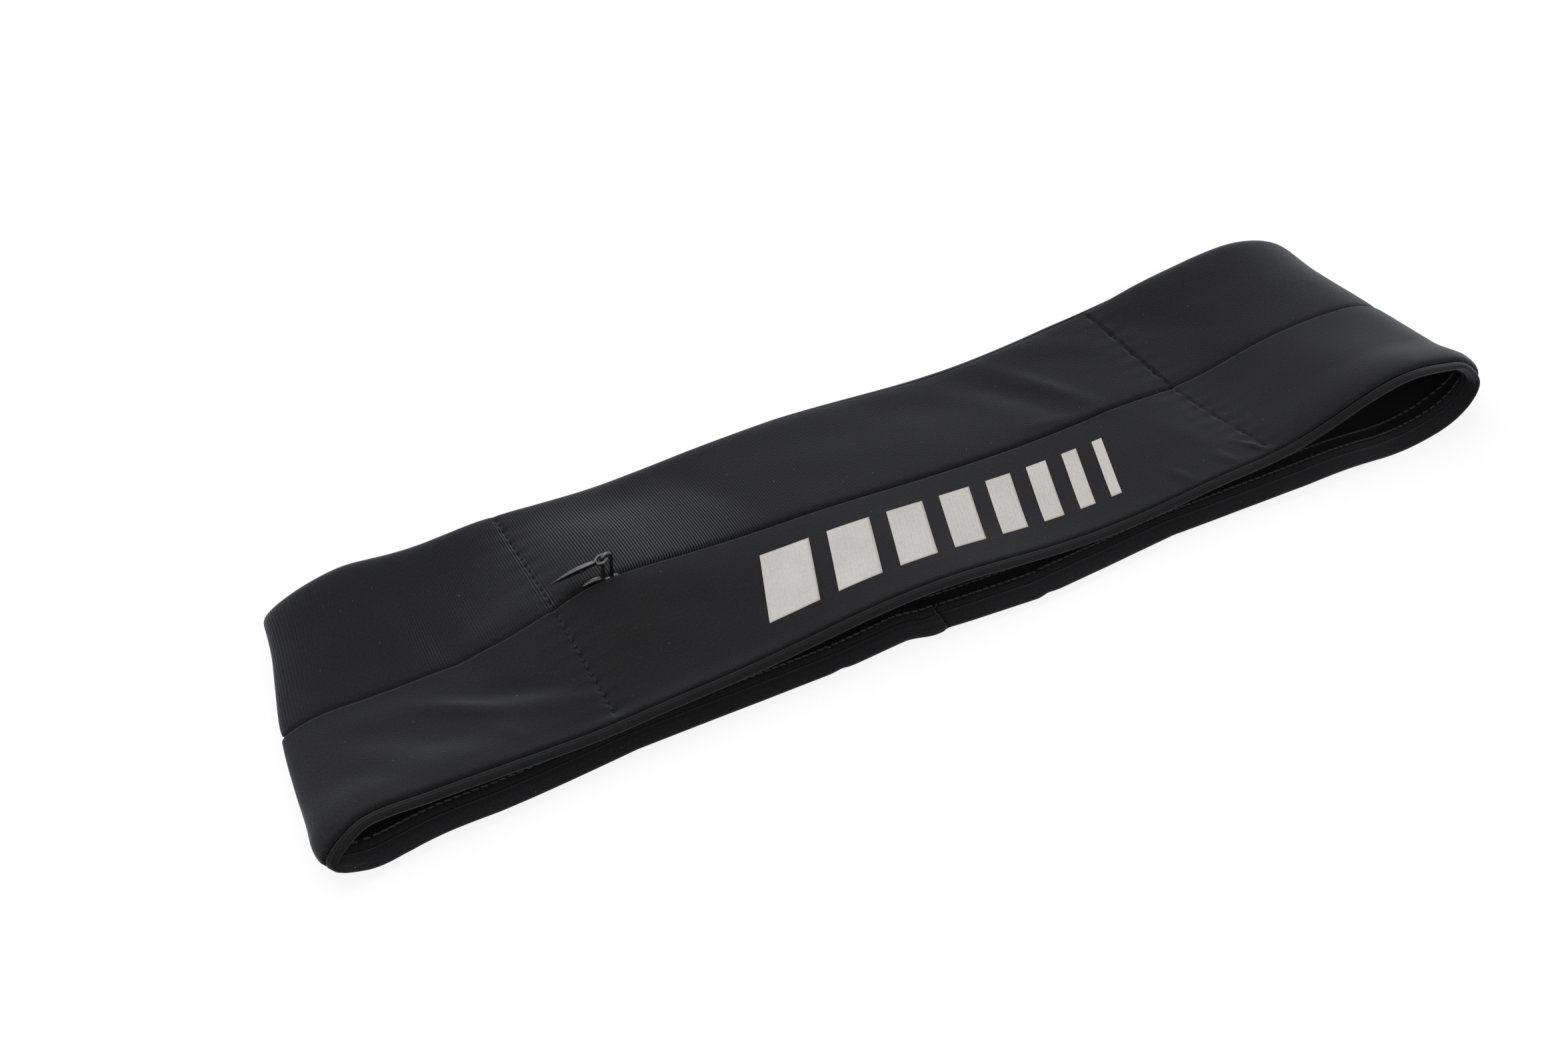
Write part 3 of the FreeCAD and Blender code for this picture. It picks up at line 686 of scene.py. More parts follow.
def cloth_beads(name, places, across, depth, lengthwise, slant, length, thickness, material):
    """Stitches lying on the cloth, each turned by its slant from the belt's length or from its width."""
    wide = across[:, None]
    middle = cloth_points(places, wide, depth[:, None])[:, 0]
    step = 0.3
    ahead = cloth_points(places + step, wide, depth[:, None])[:, 0]
    beside = cloth_points(places, wide + step, depth[:, None])[:, 0]
    along = ahead - middle
    over = beside - middle
    along /= np.linalg.norm(along, axis=-1, keepdims=True)
    over /= np.linalg.norm(over, axis=-1, keepdims=True)
    turn = math.radians(slant)
    line, other = (along, over) if lengthwise else (over, along)
    direction = line * math.cos(turn) + other * math.sin(turn)
    direction /= np.linalg.norm(direction, axis=-1, keepdims=True)
    up = np.cross(along, over)
    up -= direction * (up * direction).sum(axis=-1, keepdims=True)
    up /= np.linalg.norm(up, axis=-1, keepdims=True)
    return beads_piece(name, middle, direction, up, length, thickness, material, "belt")


def tube_points(path, side, up, half_width, half_height, power=2.0, rounds=20):
    """Rings round a path: each is a superellipse, cos^(2/n) by sin^(2/n), in the plane of its side and up."""
    angle = np.arange(rounds) / rounds * 2 * math.pi
    wide = np.sign(np.cos(angle)) * np.abs(np.cos(angle)) ** (2 / power)
    high = np.sign(np.sin(angle)) * np.abs(np.sin(angle)) ** (2 / power)
    across = side[:, None, :] * (wide[None, :] * half_width[:, None])[..., None]
    above = up[:, None, :] * (high[None, :] * half_height[:, None])[..., None]
    return path[:, None, :] + across + above


def tube_faces(path, rings, rounds, start):
    """Faces and corner places of one tube: a grid closed round it, and a flat face at each end."""
    u = lengths_along(path)
    v = np.linspace(0, 6, rounds + 1)
    faces, corners = grid_faces(u, v, rings, rounds, False, True)
    first = np.arange(rounds)[None, ::-1]
    ends = np.vstack([first, np.arange(rounds)[None, :] + (rings - 1) * rounds])
    end_corners = np.zeros((2 * rounds, 2))
    return faces + start, ends + start, corners, end_corners


def tubes_piece(name, tubes, material, body):
    """One piece made of closed tubes, each (path, side, up, half_width, half_height, power, rounds)."""
    points, quads, ends, quad_places, end_places = [], [], [], [], []
    start = 0
    for path, side, up, half_width, half_height, power, rounds in tubes:
        rings = tube_points(path, side, up, half_width, half_height, power, rounds)
        faces, caps, corners, cap_corners = tube_faces(path, len(path), rounds, start)
        if signed_volume(np.concatenate(points + [rings.reshape(-1, 3)]), [faces, caps]) < 0:
            faces, corners = faces[:, ::-1], corners.reshape(-1, 4, 2)[:, ::-1].reshape(-1, 2)
            caps = caps[:, ::-1]
        points.append(rings.reshape(-1, 3))
        quads.append(faces)
        ends.append(caps)
        quad_places.append(corners)
        end_places.append(cap_corners)
        start += len(path) * rounds
    groups = [np.concatenate(quads)]
    places = [np.concatenate(quad_places)]
    for caps, cap_corners in zip(ends, end_places):
        groups.append(caps)
        places.append(cap_corners)
    return make_piece(name, np.concatenate(points), groups, places, material, body)


def slab_tube(start, end, side, up, half_width, half_height, rounding, power=5.0, rings=24, rounds=24):
    """A straight bar with rounded edges: its section shrinks at both ends by a quarter circle."""
    length = np.linalg.norm(end - start)
    angle = np.linspace(0, math.pi, rings)
    share = (1 - np.cos(angle)) / 2
    path = start + (end - start) * share[:, None]
    near_end = np.minimum(share, 1 - share) * length
    inset = rounding - np.sqrt(np.clip(rounding ** 2 - np.clip(rounding - near_end, 0, None) ** 2, 0, None))
    rows = np.ones(rings)[:, None]
    wide = np.maximum(half_width - inset, 0.02)
    high = np.maximum(half_height - inset, 0.02)
    return path, rows * side, rows * up, wide, high, power, rounds


# ---------------------------------------------------------------- materials


def linear(code):
    """A colour for a socket from an sRGB hex code such as "1e1f22"."""
    parts = [int(code[i:i + 2], 16) / 255 for i in (0, 2, 4)]
    return tuple(p / 12.92 if p <= 0.04045 else ((p + 0.055) / 1.055) ** 2.4 for p in parts) + (1.0,)


def add(tree, kind, inputs=None, **settings):
    """Adds a node with its settings. Each input gets a value, or a link where it is (node, output)."""
    node = tree.nodes.new(kind)
    for name, value in settings.items():
        setattr(node, name, value)
    for key, value in (inputs or {}).items():
        if isinstance(value, tuple) and isinstance(value[0], bpy.types.Node):
            tree.links.new(value[0].outputs[value[1]], node.inputs[key])
        else:
            node.inputs[key].default_value = value
    return node


def empty_material(name):
    """A material with no nodes yet but its output."""
    material = bpy.data.materials.new(name)
    material.use_nodes = True
    material.node_tree.nodes.clear()
    return material, material.node_tree


def finish_material(tree, shader):
    """Links the shader to the material's output."""
    add(tree, "ShaderNodeOutputMaterial", {"Surface": (shader, 0)})


# A wave texture repeats every 0.31416 of its scaled coordinate.
WAVE_PERIOD = math.pi / 10


def knit_material(name, colour, rib_pitch, rib_height, loop_height, sheen, ribs_along=False, patch=False,
                  rim_light_and_shade=None):
    """Warp-knitted polyester with elastane, dyed black: dull, with fine ribs across the belt and a soft
    pale sheen where it is seen at a low angle. The ribs are 0.65 mm apart on the real cloth and are drawn
    at the pitch given, in mm, which is the finest that shows. Their height is in metres."""
    material, tree = empty_material(name)
    place = add(tree, "ShaderNodeUVMap", uv_map="cloth")
    ribs = add(tree, "ShaderNodeTexWave",
               {"Vector": (place, 0), "Scale": WAVE_PERIOD / (rib_pitch * MM), "Distortion": 0.6,
                "Detail": 1.0, "Detail Scale": 0.4},
               bands_direction="Y" if ribs_along else "X")
    # Loops of the knit, 0.5 mm along the belt and 0.9 mm across it.
    stretched = add(tree, "ShaderNodeMapping", {"Vector": (place, 0), "Scale": (2000.0, 1100.0, 1.0)})
    loops = add(tree, "ShaderNodeTexNoise", {"Vector": (stretched, 0), "Scale": 1.0, "Detail": 2.0})
    # Slow changes of tone over about 25 mm, from handling and from uneven stretch.
    slow = add(tree, "ShaderNodeTexNoise", {"Vector": (place, 0), "Scale": 40.0, "Detail": 3.0})
    weight = add(tree, "ShaderNodeMath", {0: (ribs, "Fac"), 1: rib_height}, operation="MULTIPLY")
    if patch:
        # The ribs show most on the upper panel beside the zip's start, where the cloth is stretched.
        spot = add(tree, "ShaderNodeTexCoord")
        offset = add(tree, "ShaderNodeMapping",
                     {"Vector": (spot, "Object"), "Location": (2.05, -0.2, 0.0), "Scale": (19.0, 30.0, 0.0)})
        distance = add(tree, "ShaderNodeVectorMath", {0: (offset, 0)}, operation="LENGTH")
        share = add(tree, "ShaderNodeMapRange",
                    {"Value": (distance, "Value"), "From Min": 0.3, "From Max": 1.4, "To Min": 1.2,
                     "To Max": 0.2}, interpolation_type="SMOOTHSTEP")
        weight = add(tree, "ShaderNodeMath", {0: (weight, 0), 1: (share, 0)}, operation="MULTIPLY")
    height = add(tree, "ShaderNodeMath", {0: (loops, "Fac"), 1: loop_height, 2: (weight, 0)},
                 operation="MULTIPLY_ADD")
    bump = add(tree, "ShaderNodeBump", {"Height": (height, 0), "Distance": 1.0, "Strength": 1.0})
    tone = add(tree, "ShaderNodeMix", {0: (slow, "Fac"), 6: linear(colour[0]), 7: linear(colour[1])},
               data_type="RGBA")
    grain = add(tree, "ShaderNodeMapRange",
                {"Value": (loops, "Fac"), "From Min": 0.3, "From Max": 0.7, "To Min": 0.7, "To Max": 1.3})
    if rim_light_and_shade:
        # Painted shade and painted light across the facing, by the distance round it: the band before the rim
        # is darkened by the first share and the leg on the wearer's side is lightened by the second, for how
        # light falls on them.
        first, last, band_shade_share, leg_light_share = rim_light_and_shade
        parts = add(tree, "ShaderNodeSeparateXYZ", {0: (place, 0)})
        back = add(tree, "ShaderNodeMapRange",
                   {"Value": (parts, "Y"), "From Min": first * MM, "From Max": last * MM,
                    "To Min": band_shade_share, "To Max": leg_light_share}, interpolation_type="SMOOTHSTEP")
        grain = add(tree, "ShaderNodeMath", {0: (grain, 0), 1: (back, 0)}, operation="MULTIPLY")
    shade = add(tree, "ShaderNodeVectorMath", {0: (tone, 2), 3: (grain, 0)}, operation="SCALE")
    # Specks of lint 0.3 mm across, a few on each square centimetre.
    lint = add(tree, "ShaderNodeTexNoise", {"Vector": (place, 0), "Scale": 1300.0, "Detail": 0.0})
    speck = add(tree, "ShaderNodeMapRange", {"Value": (lint, "Fac"), "From Min": 0.85, "From Max": 0.95})
    shade = add(tree, "ShaderNodeMix", {0: (speck, 0), 6: (shade, 0), 7: linear("5c5d60")}, data_type="RGBA")
    shader = add(tree, "ShaderNodeBsdfPrincipled",
                 {"Base Color": (shade, 2), "Roughness": 0.92, "Specular IOR Level": 0.12,
                  "Sheen Weight": sheen, "Sheen Roughness": 0.45, "Sheen Tint": linear("c4c6cb"),
                  "Normal": (bump, 0)})
    finish_material(tree, shader)
    return material


def tape_material(name, colour, pitch, height, sheen):
    """Woven polyester tape: a little smoother than the knit, with fine ribs across its length."""
    return knit_material(name, colour, pitch, height, 0.00004, sheen)


def thread_material(name, colour):
    """Twisted polyester sewing thread: black with a slight shine, its twist drawn every 0.6 mm."""
    material, tree = empty_material(name)
    place = add(tree, "ShaderNodeTexCoord")
    twist = add(tree, "ShaderNodeTexWave",
                {"Vector": (place, "Object"), "Scale": WAVE_PERIOD / (0.6 * MM)}, bands_direction="DIAGONAL")
    height = add(tree, "ShaderNodeMath", {0: (twist, "Fac"), 1: 0.00004}, operation="MULTIPLY")
    bump = add(tree, "ShaderNodeBump", {"Height": (height, 0), "Distance": 1.0})
    tone = add(tree, "ShaderNodeMix", {0: (twist, "Fac"), 6: linear(colour[0]), 7: linear(colour[1])},
               data_type="RGBA")
    shader = add(tree, "ShaderNodeBsdfPrincipled",
                 {"Base Color": (tone, 2), "Roughness": 0.6, "Specular IOR Level": 0.3, "Normal": (bump, 0)})
    finish_material(tree, shader)
    return material


def enamel_material(name, colour, roughness):
    """Zinc casting with baked black enamel: deep black, hard bright reflections and a faint orange peel."""
    material, tree = empty_material(name)
    place = add(tree, "ShaderNodeTexCoord")
    # Orange peel 1.2 mm wide, and wear that dulls the gloss in patches of 3 mm.
    peel = add(tree, "ShaderNodeTexNoise", {"Vector": (place, "Object"), "Scale": 830.0, "Detail": 1.0})
    height = add(tree, "ShaderNodeMath", {0: (peel, "Fac"), 1: 0.000002}, operation="MULTIPLY")
    bump = add(tree, "ShaderNodeBump", {"Height": (height, 0), "Distance": 1.0})
    wear = add(tree, "ShaderNodeTexNoise", {"Vector": (place, "Object"), "Scale": 330.0, "Detail": 2.0})
    gloss = add(tree, "ShaderNodeMapRange",
                {"Value": (wear, "Fac"), "From Min": 0.3, "From Max": 0.75, "To Min": roughness,
                 "To Max": roughness + 0.12})
    shader = add(tree, "ShaderNodeBsdfPrincipled",
                 {"Base Color": linear(colour), "Roughness": (gloss, 0), "IOR": 1.5,
                  "Specular IOR Level": 1.0, "Normal": (bump, 0)})
    finish_material(tree, shader)
    return material


def coil_material(name, colour):
    """Nylon monofilament: black, smooth and slightly waxy, so its gloss changes from turn to turn."""
    material, tree = empty_material(name)
    place = add(tree, "ShaderNodeTexCoord")
    # Waxy patches 1.1 mm wide.
    streak = add(tree, "ShaderNodeTexNoise", {"Vector": (place, "Object"), "Scale": 900.0, "Detail": 2.0})
    gloss = add(tree, "ShaderNodeMapRange", {"Value": (streak, "Fac"), "To Min": 0.28, "To Max": 0.5})
    shader = add(tree, "ShaderNodeBsdfPrincipled",
                 {"Base Color": linear(colour), "Roughness": (gloss, 0), "IOR": 1.53})
    finish_material(tree, shader)
    return material


def film_material(name, colours):
    """Heat-bonded reflective film of fine glass beads: pale grey and matt. The ribs of the cloth under it
    show faintly, drawn 1.3 mm apart."""
    material, tree = empty_material(name)
    place = add(tree, "ShaderNodeUVMap", uv_map="cloth")
    # The beads are too fine to show, so the grain is drawn 1.1 mm wide. Wear changes the tone over 17 mm.
    grain = add(tree, "ShaderNodeTexNoise", {"Vector": (place, 0), "Scale": 900.0, "Detail": 3.0})
    slow = add(tree, "ShaderNodeTexNoise", {"Vector": (place, 0), "Scale": 60.0, "Detail": 2.0})
    ribs = add(tree, "ShaderNodeTexWave", {"Vector": (place, 0), "Scale": WAVE_PERIOD / (1.3 * MM)})
    height = add(tree, "ShaderNodeMath", {0: (ribs, "Fac"), 1: 0.00003}, operation="MULTIPLY")
    rough = add(tree, "ShaderNodeMath", {0: (grain, "Fac"), 1: 0.00005, 2: (height, 0)},
                operation="MULTIPLY_ADD")
    bump = add(tree, "ShaderNodeBump", {"Height": (rough, 0), "Distance": 1.0})
    mixed = add(tree, "ShaderNodeMath", {0: (grain, "Fac"), 1: (slow, "Fac")}, operation="ADD")
    share = add(tree, "ShaderNodeMapRange", {"Value": (mixed, 0), "From Min": 0.7, "From Max": 1.3})
    tone = add(tree, "ShaderNodeMix", {0: (share, 0), 6: linear(colours[0]), 7: linear(colours[1])},
               data_type="RGBA")
    shader = add(tree, "ShaderNodeBsdfPrincipled",
                 {"Base Color": (tone, 2), "Roughness": 0.62, "Specular IOR Level": 0.3, "Normal": (bump, 0)})
    finish_material(tree, shader)
    return material


# ---------------------------------------------------------------- what a user would change


class BeltColours(bpy.types.PropertyGroup):
    """Colours of the belt's finishes, as sRGB hex codes."""

    knit: bpy.props.StringProperty(
        name="Outer knit", description="Main colour of the outer panels and facings", default="131314")
    knit_light: bpy.props.StringProperty(
        name="Outer knit, stretched", description="Paler tone where the outer knit is stretched",
        default="19191b")
    # The lining's colour is a little darker than the outer knit's: painted shade for the inside of the belt.
    lining: bpy.props.StringProperty(
        name="Lining", description="Colour of the inner panel", default="0e0e10")
    thread: bpy.props.StringProperty(
        name="Thread", description="Colour of the sewing thread", default="0d0d0e")
    film: bpy.props.StringProperty(
        name="Reflective film", description="Colour of the film bars", default="b9b7b4")
    film_dark: bpy.props.StringProperty(
        name="Reflective film, worn", description="Duller tone of the film bars", default="aca9a5")
    enamel: bpy.props.StringProperty(
        name="Enamel", description="Colour of the slider and the puller", default="0a0a0b")


class BeltSizes(bpy.types.PropertyGroup):
    """Sizes of the details that the frame doesn't hold, in metres."""

    rib_pitch: bpy.props.FloatProperty(
        name="Rib pitch", description="Distance between ribs of the knit", default=0.9 * MM, min=0.3 * MM,
        max=4.0 * MM, precision=4, unit="LENGTH")
    row_spacing: bpy.props.FloatProperty(
        name="Row spacing", description="Distance between the rows of the cloth meshes", default=1.4 * MM,
        min=0.8 * MM, max=6.0 * MM, precision=4, unit="LENGTH")
    stitch_pitch: bpy.props.FloatProperty(
        name="Stitch pitch", description="Distance between the stitches of a seam",
        default=STITCH_PITCH * MM, min=1.5 * MM, max=6.0 * MM, precision=4, unit="LENGTH")
    cover_pitch: bpy.props.FloatProperty(
        name="Cover stitch pitch", description="Distance between cover stitches", default=2.5 * MM,
        min=1.0 * MM, max=6.0 * MM, precision=4, unit="LENGTH")
    tooth_pitch: bpy.props.FloatProperty(
        name="Coil pitch", description="Distance between the turns of the zip's coils", default=1.4 * MM,
        min=0.8 * MM, max=4.0 * MM, precision=4, unit="LENGTH")
    thread_width: bpy.props.FloatProperty(
        name="Thread width", description="Thickness of the sewing thread", default=0.45 * MM, min=0.1 * MM,
        max=1.5 * MM, precision=4, unit="LENGTH")
    film_bars: bpy.props.IntProperty(
        name="Film bars", description="Number of slanted bars of reflective film", default=8, min=1, max=16)


def hex_of(code, part):
    """The code where it is six hex digits, and otherwise an error that names the part."""
    if len(code) != 6 or not all(digit in "0123456789abcdefABCDEF" for digit in code):
        raise ValueError(f"{part} colour must be six hex digits, not {code}")
    return code


# ---------------------------------------------------------------- the pieces


def closed_lips(places, across):
    """How far the panels' lips move across: towards each other outside the zip, by exp(-distance^2)."""
    first, last = place_of_x(LEFT_SEAM_X), place_of_x(RIGHT_SEAM_X)
    zip_share = smooth_step((places - first + 3) / 5) * smooth_step((last + 3 - places) / 5)
    near = np.exp(-((np.abs(across) - SEAM_LIP) / 1.2) ** 2)
    return -LIP_CLOSING * np.sign(across) * near * (1 - zip_share[:, None])


class BELT_OT_outer_panels(bpy.types.Operator):
    """Builds the two outer panels, with their folds, puckers and rolled edges"""

    bl_idname = "belt.outer_panels"
    bl_label = "Outer panels"

    def execute(self, context):
        colours, sizes = context.scene.belt_colours, context.scene.belt_sizes
        tones = (hex_of(colours.knit, "Outer knit"), hex_of(colours.knit_light, "Outer knit"))
        rib_pitch = sizes.rib_pitch / MM
        upper_knit = knit_material("Polyester elastane warp knit, ribs open", tones, rib_pitch,
                                   rib_height=0.00035, loop_height=0.00009, sheen=0.35, patch=True)
        lower_knit = knit_material("Polyester elastane warp knit", tones, rib_pitch,
                                   rib_height=0.00001, loop_height=0.0001, sheen=0.35)
        fine_at = [place_of_x(LEFT_SEAM_X), place_of_x(RIGHT_SEAM_X)]
        places = loop_places(sizes.row_spacing / MM, fine_spacing=0.4, fine_at=fine_at)
        for name, side, lip_radius, dip, material in (
                ("Upper_outer_panel", 1, 1.5, 0.9, upper_knit),
                ("Lower_outer_panel", -1, 0.9, 0.1, lower_knit)):
            profile = panel_profile(side, lip_radius, dip)
            piece = ring_piece(name, places, profile, material,
                               shift=closed_lips(places, profile[:, 0]))
            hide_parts(name.lower())
        return {"FINISHED"}


class BELT_OT_rims(bpy.types.Operator):
    """Builds the facings that turn round both rims and the elastic inside them"""

    bl_idname = "belt.rims"
    bl_label = "Rims"

    def execute(self, context):
        colours, sizes = context.scene.belt_colours, context.scene.belt_sizes
        tones = (hex_of(colours.knit, "Outer knit"), hex_of(colours.knit_light, "Outer knit"))
        # Painted shade on each facing's band and painted light on its leg: the upper facing's band is
        # darkened more than the lower one's.
        facing_knits = [
            knit_material("Polyester elastane warp knit, " + name, tones, rib_pitch=1.0,
                          rib_height=0.00005, loop_height=0.00008, sheen=0.3, ribs_along=True,
                          rim_light_and_shade=(2.5, 6.0, share, 1.35))
            for name, share in (("upper facing", 0.34), ("lower facing", 0.44))]
        braid = tape_material("Braided elastic", ("101012", "161618"), pitch=1.6, height=0.0002, sheen=0.1)
        places = loop_places(sizes.row_spacing / MM, fine_spacing=0.16,
                             fine_at=[JOIN_PLACE] + BACK_SEAM_PLACES, reach=2.0)
        for prefix, side, facing_knit in (("Upper", 1, facing_knits[0]), ("Lower", -1, facing_knits[1])):
            facing = ring_piece(prefix + "_rim_facing", places, facing_profile(side), facing_knit,
                                lift_share=0.0)
            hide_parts(facing.name.lower())
            strip = flat_profile(*ELASTIC_EDGES, top=FABRIC + 0.1, foot=FABRIC + 0.7, spacing=1.0)
            strip[:, 0] *= side
            elastic = ring_piece(prefix + "_rim_elastic", places, strip, braid, lift_share=0.0)
            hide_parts(elastic.name.lower())
        return {"FINISHED"}


class BELT_OT_lining(bpy.types.Operator):
    """Builds the inner panel, its ribbed tapes and the tape over the back join"""

    bl_idname = "belt.lining"
    bl_label = "Lining and tapes"

    def execute(self, context):
        lining_tone = hex_of(context.scene.belt_colours.lining, "Lining")
        # The lining's darker colour is painted shade for the inside of the belt.
        lining_knit = knit_material("Polyester elastane warp knit, lining", (lining_tone, "151517"),
                                    rib_pitch=1.2, rib_height=0.00004, loop_height=0.00008, sheen=0.0)
        # The tape's near-black colour is painted shade for the dark lines beside its raised rows.
        tape = tape_material("Ribbed polyester tape", ("0a0a0b", "0f0f10"), pitch=TAPE_PITCH, height=0.0,
                             sheen=0.1)
        rows = int(LOOP_LENGTH / 2.0)
        places = np.linspace(JOIN_PLACE + 0.2, JOIN_PLACE + LOOP_LENGTH - 0.2, rows)
        profile = flat_profile(-RIM_TURN + 0.3, RIM_TURN - 0.3, top=STACK - FABRIC + 0.02, foot=STACK,
                               spacing=2.0)
        lining = strip_piece("Inner_panel", places, profile, lining_knit, lift_share=0.0)
        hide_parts("inner_panel")
        # The tape: two soft ridges where it is sewn, and ribs of a cosine of four rows each along it.
        rib_rows = int(LOOP_LENGTH / TAPE_PITCH) * 4
        inner = line_points((TAPE_EDGES[0], STACK + 0.3), (TAPE_EDGES[1], STACK + 0.3), 0.45)
        inner[:, 1] += TAPE_RIDGE * (np.exp(-((inner[:, 0] - TAPE_ROWS[0]) / 0.6) ** 2)
                                     + np.exp(-((inner[:, 0] - TAPE_ROWS[1]) / 0.6) ** 2))
        near, far = TAPE_EDGES
        foot = STACK + 0.02
        under = [(far + 0.1, STACK + 0.15), (far - 0.2, foot), (40.0, foot), (near + 0.2, foot),
                 (near - 0.1, STACK + 0.15)]
        tape_profile = np.vstack([inner, under])
        rib_places = np.arange(rib_rows) / rib_rows * LOOP_LENGTH
        for prefix, side in (("Upper", 1), ("Lower", -1)):
            strip = tape_profile * [side, 1]
            depth = np.broadcast_to(strip[:, 1], (rib_rows, len(strip)))
            points = cloth_points(rib_places, strip[:, 0], depth, lift_share=0.0)
            normal = surface_normals(rib_places, strip[:, 0])
            wave = 0.12 * np.cos(np.arange(rib_rows) * math.pi / 2)
            ribbed = (strip[:, 1] > STACK + 0.2).astype(float)
            points = points - normal * (wave[:, None] * ribbed[None, :])[..., None]
            u = np.append(rib_places, LOOP_LENGTH)
            v = lengths_along(np.vstack([strip, strip[:1]]))
            faces, corners = grid_faces(u, v, rib_rows, len(strip), True, True)
            piece = make_piece(prefix + "_ribbed_tape", points, [faces], [corners], tape, "belt")
            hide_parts(piece.name.lower())
        # The tape over the back join.
        cover_places = np.linspace(JOIN_PLACE - COVER_REACH, JOIN_PLACE + COVER_REACH, 12)
        cover = flat_profile(-COVER_EDGE, COVER_EDGE, top=STACK + 0.03, foot=STACK + 0.4, spacing=2.0)
        piece = strip_piece("Back_join_tape", cover_places, cover, lining_knit, lift_share=0.0)
        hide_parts("back_join_tape")
        return {"FINISHED"}


class BELT_OT_stitches(bpy.types.Operator):
    """Sews the rows of stitches: cover stitch along the tapes, the pocket ends and the back"""

    bl_idname = "belt.stitches"
    bl_label = "Stitches"

    def execute(self, context):
        colours, sizes = context.scene.belt_colours, context.scene.belt_sizes
        thread = thread_material("Polyester sewing thread", (hex_of(colours.thread, "Thread"), "141416"))
        # The cover thread is paler than the sewing thread: painted light on the tape's raised rows.
        cover_thread = thread_material("Polyester cover thread", ("1a1a1c", "28282b"))
        stitch_pitch, cover_pitch = sizes.stitch_pitch / MM, sizes.cover_pitch / MM
        thread_width = sizes.thread_width / MM
        # Cover stitch: two rows on each tape, the second half a pitch along.
        count = int(LOOP_LENGTH / cover_pitch)
        row = np.arange(count) / count * LOOP_LENGTH
        for prefix, side in (("Upper", 1), ("Lower", -1)):
            places = np.concatenate([row, row + cover_pitch / 2])
            across = np.repeat([TAPE_ROWS[0] * side, TAPE_ROWS[1] * side], count)
            depth = np.full(2 * count, STACK + 0.3 + TAPE_RIDGE)
            piece = cloth_beads(prefix + "_cover_stitching", places, across, depth, lengthwise=True,
                                slant=9.0, length=cover_pitch * 1.05, thickness=thread_width * 1.9,
                                material=cover_thread)
            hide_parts(piece.name.lower())
        # The pocket's ends: one row across each panel, clear of the centre seam.
        reach = GROOVE - 4
        half_row = np.arange(HALF_STITCH, reach, stitch_pitch)
        across = np.concatenate([-half_row[::-1], half_row])
        for name, x in (("Left_pocket_stitching", LEFT_SEAM_X), ("Right_pocket_stitching", RIGHT_SEAM_X)):
            places = np.array([place_of_x(seam_x(x, v)) for v in across])
            piece = cloth_beads(name, places, across, np.full(len(across), 0.22), lengthwise=False,
                                slant=0.0, length=STITCH_LENGTH, thickness=thread_width, material=thread)
            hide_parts(name.lower())
        # The back half's two rows, between the tapes.
        half_row = np.arange(HALF_STITCH, BACK_ROW_END, stitch_pitch)
        across = np.concatenate([-half_row[::-1], half_row])
        for name, x in zip(("Left_back_stitching", "Right_back_stitching"), BACK_SEAMS_X):
            places = np.full(len(across), float(place_of_x(x, top=False)))
            piece = cloth_beads(name, places, across, np.full(len(across), STACK + 0.12), lengthwise=False,
                                slant=0.0, length=STITCH_LENGTH, thickness=thread_width, material=thread)
            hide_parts(name.lower())
        return {"FINISHED"}


class BELT_OT_film(bpy.types.Operator):
    """Lays the slanted bars of reflective film on the lower panel"""

    bl_idname = "belt.film"
    bl_label = "Reflective film"

    def execute(self, context):
        colours, sizes = context.scene.belt_colours, context.scene.belt_sizes
        film = film_material("Reflective glass-bead film", (hex_of(colours.film_dark, "Film"),
                                                           hex_of(colours.film, "Film")))
        count = sizes.film_bars
        widths = np.linspace(FILM_FIRST, FILM_LAST, count)
        gap = (FILM_X[1] - FILM_X[0] - FILM_SLANT - widths.sum()) / max(count - 1, 1)
        left = FILM_X[0] + np.concatenate([[0.0], np.cumsum(widths + gap)[:-1]])
        # Each bar is a thin closed slab that follows the panel, from 0.17 mm to 0.03 mm above it.
        rows, columns = 28, 15
        t = np.linspace(0, 1, rows)
        v = FILM_V[0] + (FILM_V[1] - FILM_V[0]) * t
        s = np.linspace(0, 1, columns)
        groups, places, points = [], [], []
        start = 0
        for foot, width in zip(left, widths):
            x = foot + FILM_SLANT * t[:, None] + width * s[None, :]
            at = place_of_x(x.ravel())
            wide = np.broadcast_to(v[:, None], x.shape).reshape(-1, 1)
            sheets = [cloth_points(at, wide, np.full((len(at), 1), depth))[:, 0].reshape(rows, columns, 3)
                      for depth in (-0.17, -0.03)]
            loop = np.concatenate([sheets[0], sheets[1][:, ::-1]], axis=1)
            u_side = np.concatenate([s * width, s[::-1] * width, [0.0]])
            faces, corners = grid_faces(t * (FILM_V[1] - FILM_V[0]), u_side, rows, 2 * columns, False, True)
            row = np.arange(columns - 1)
            caps = np.stack([row, row + 1, 2 * columns - 2 - row, 2 * columns - 1 - row], -1)
            ends = np.concatenate([caps[:, ::-1], caps + (rows - 1) * 2 * columns])
            groups += [faces + start, ends + start]
            places += [corners[:, ::-1] + [foot, 0], np.zeros((ends.size, 2))]
            points.append(loop.reshape(-1, 3))
            start += rows * 2 * columns
        piece = make_piece("Reflective_film", np.concatenate(points), groups, places, film, "belt")
        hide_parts("reflective_film")
        return {"FINISHED"}


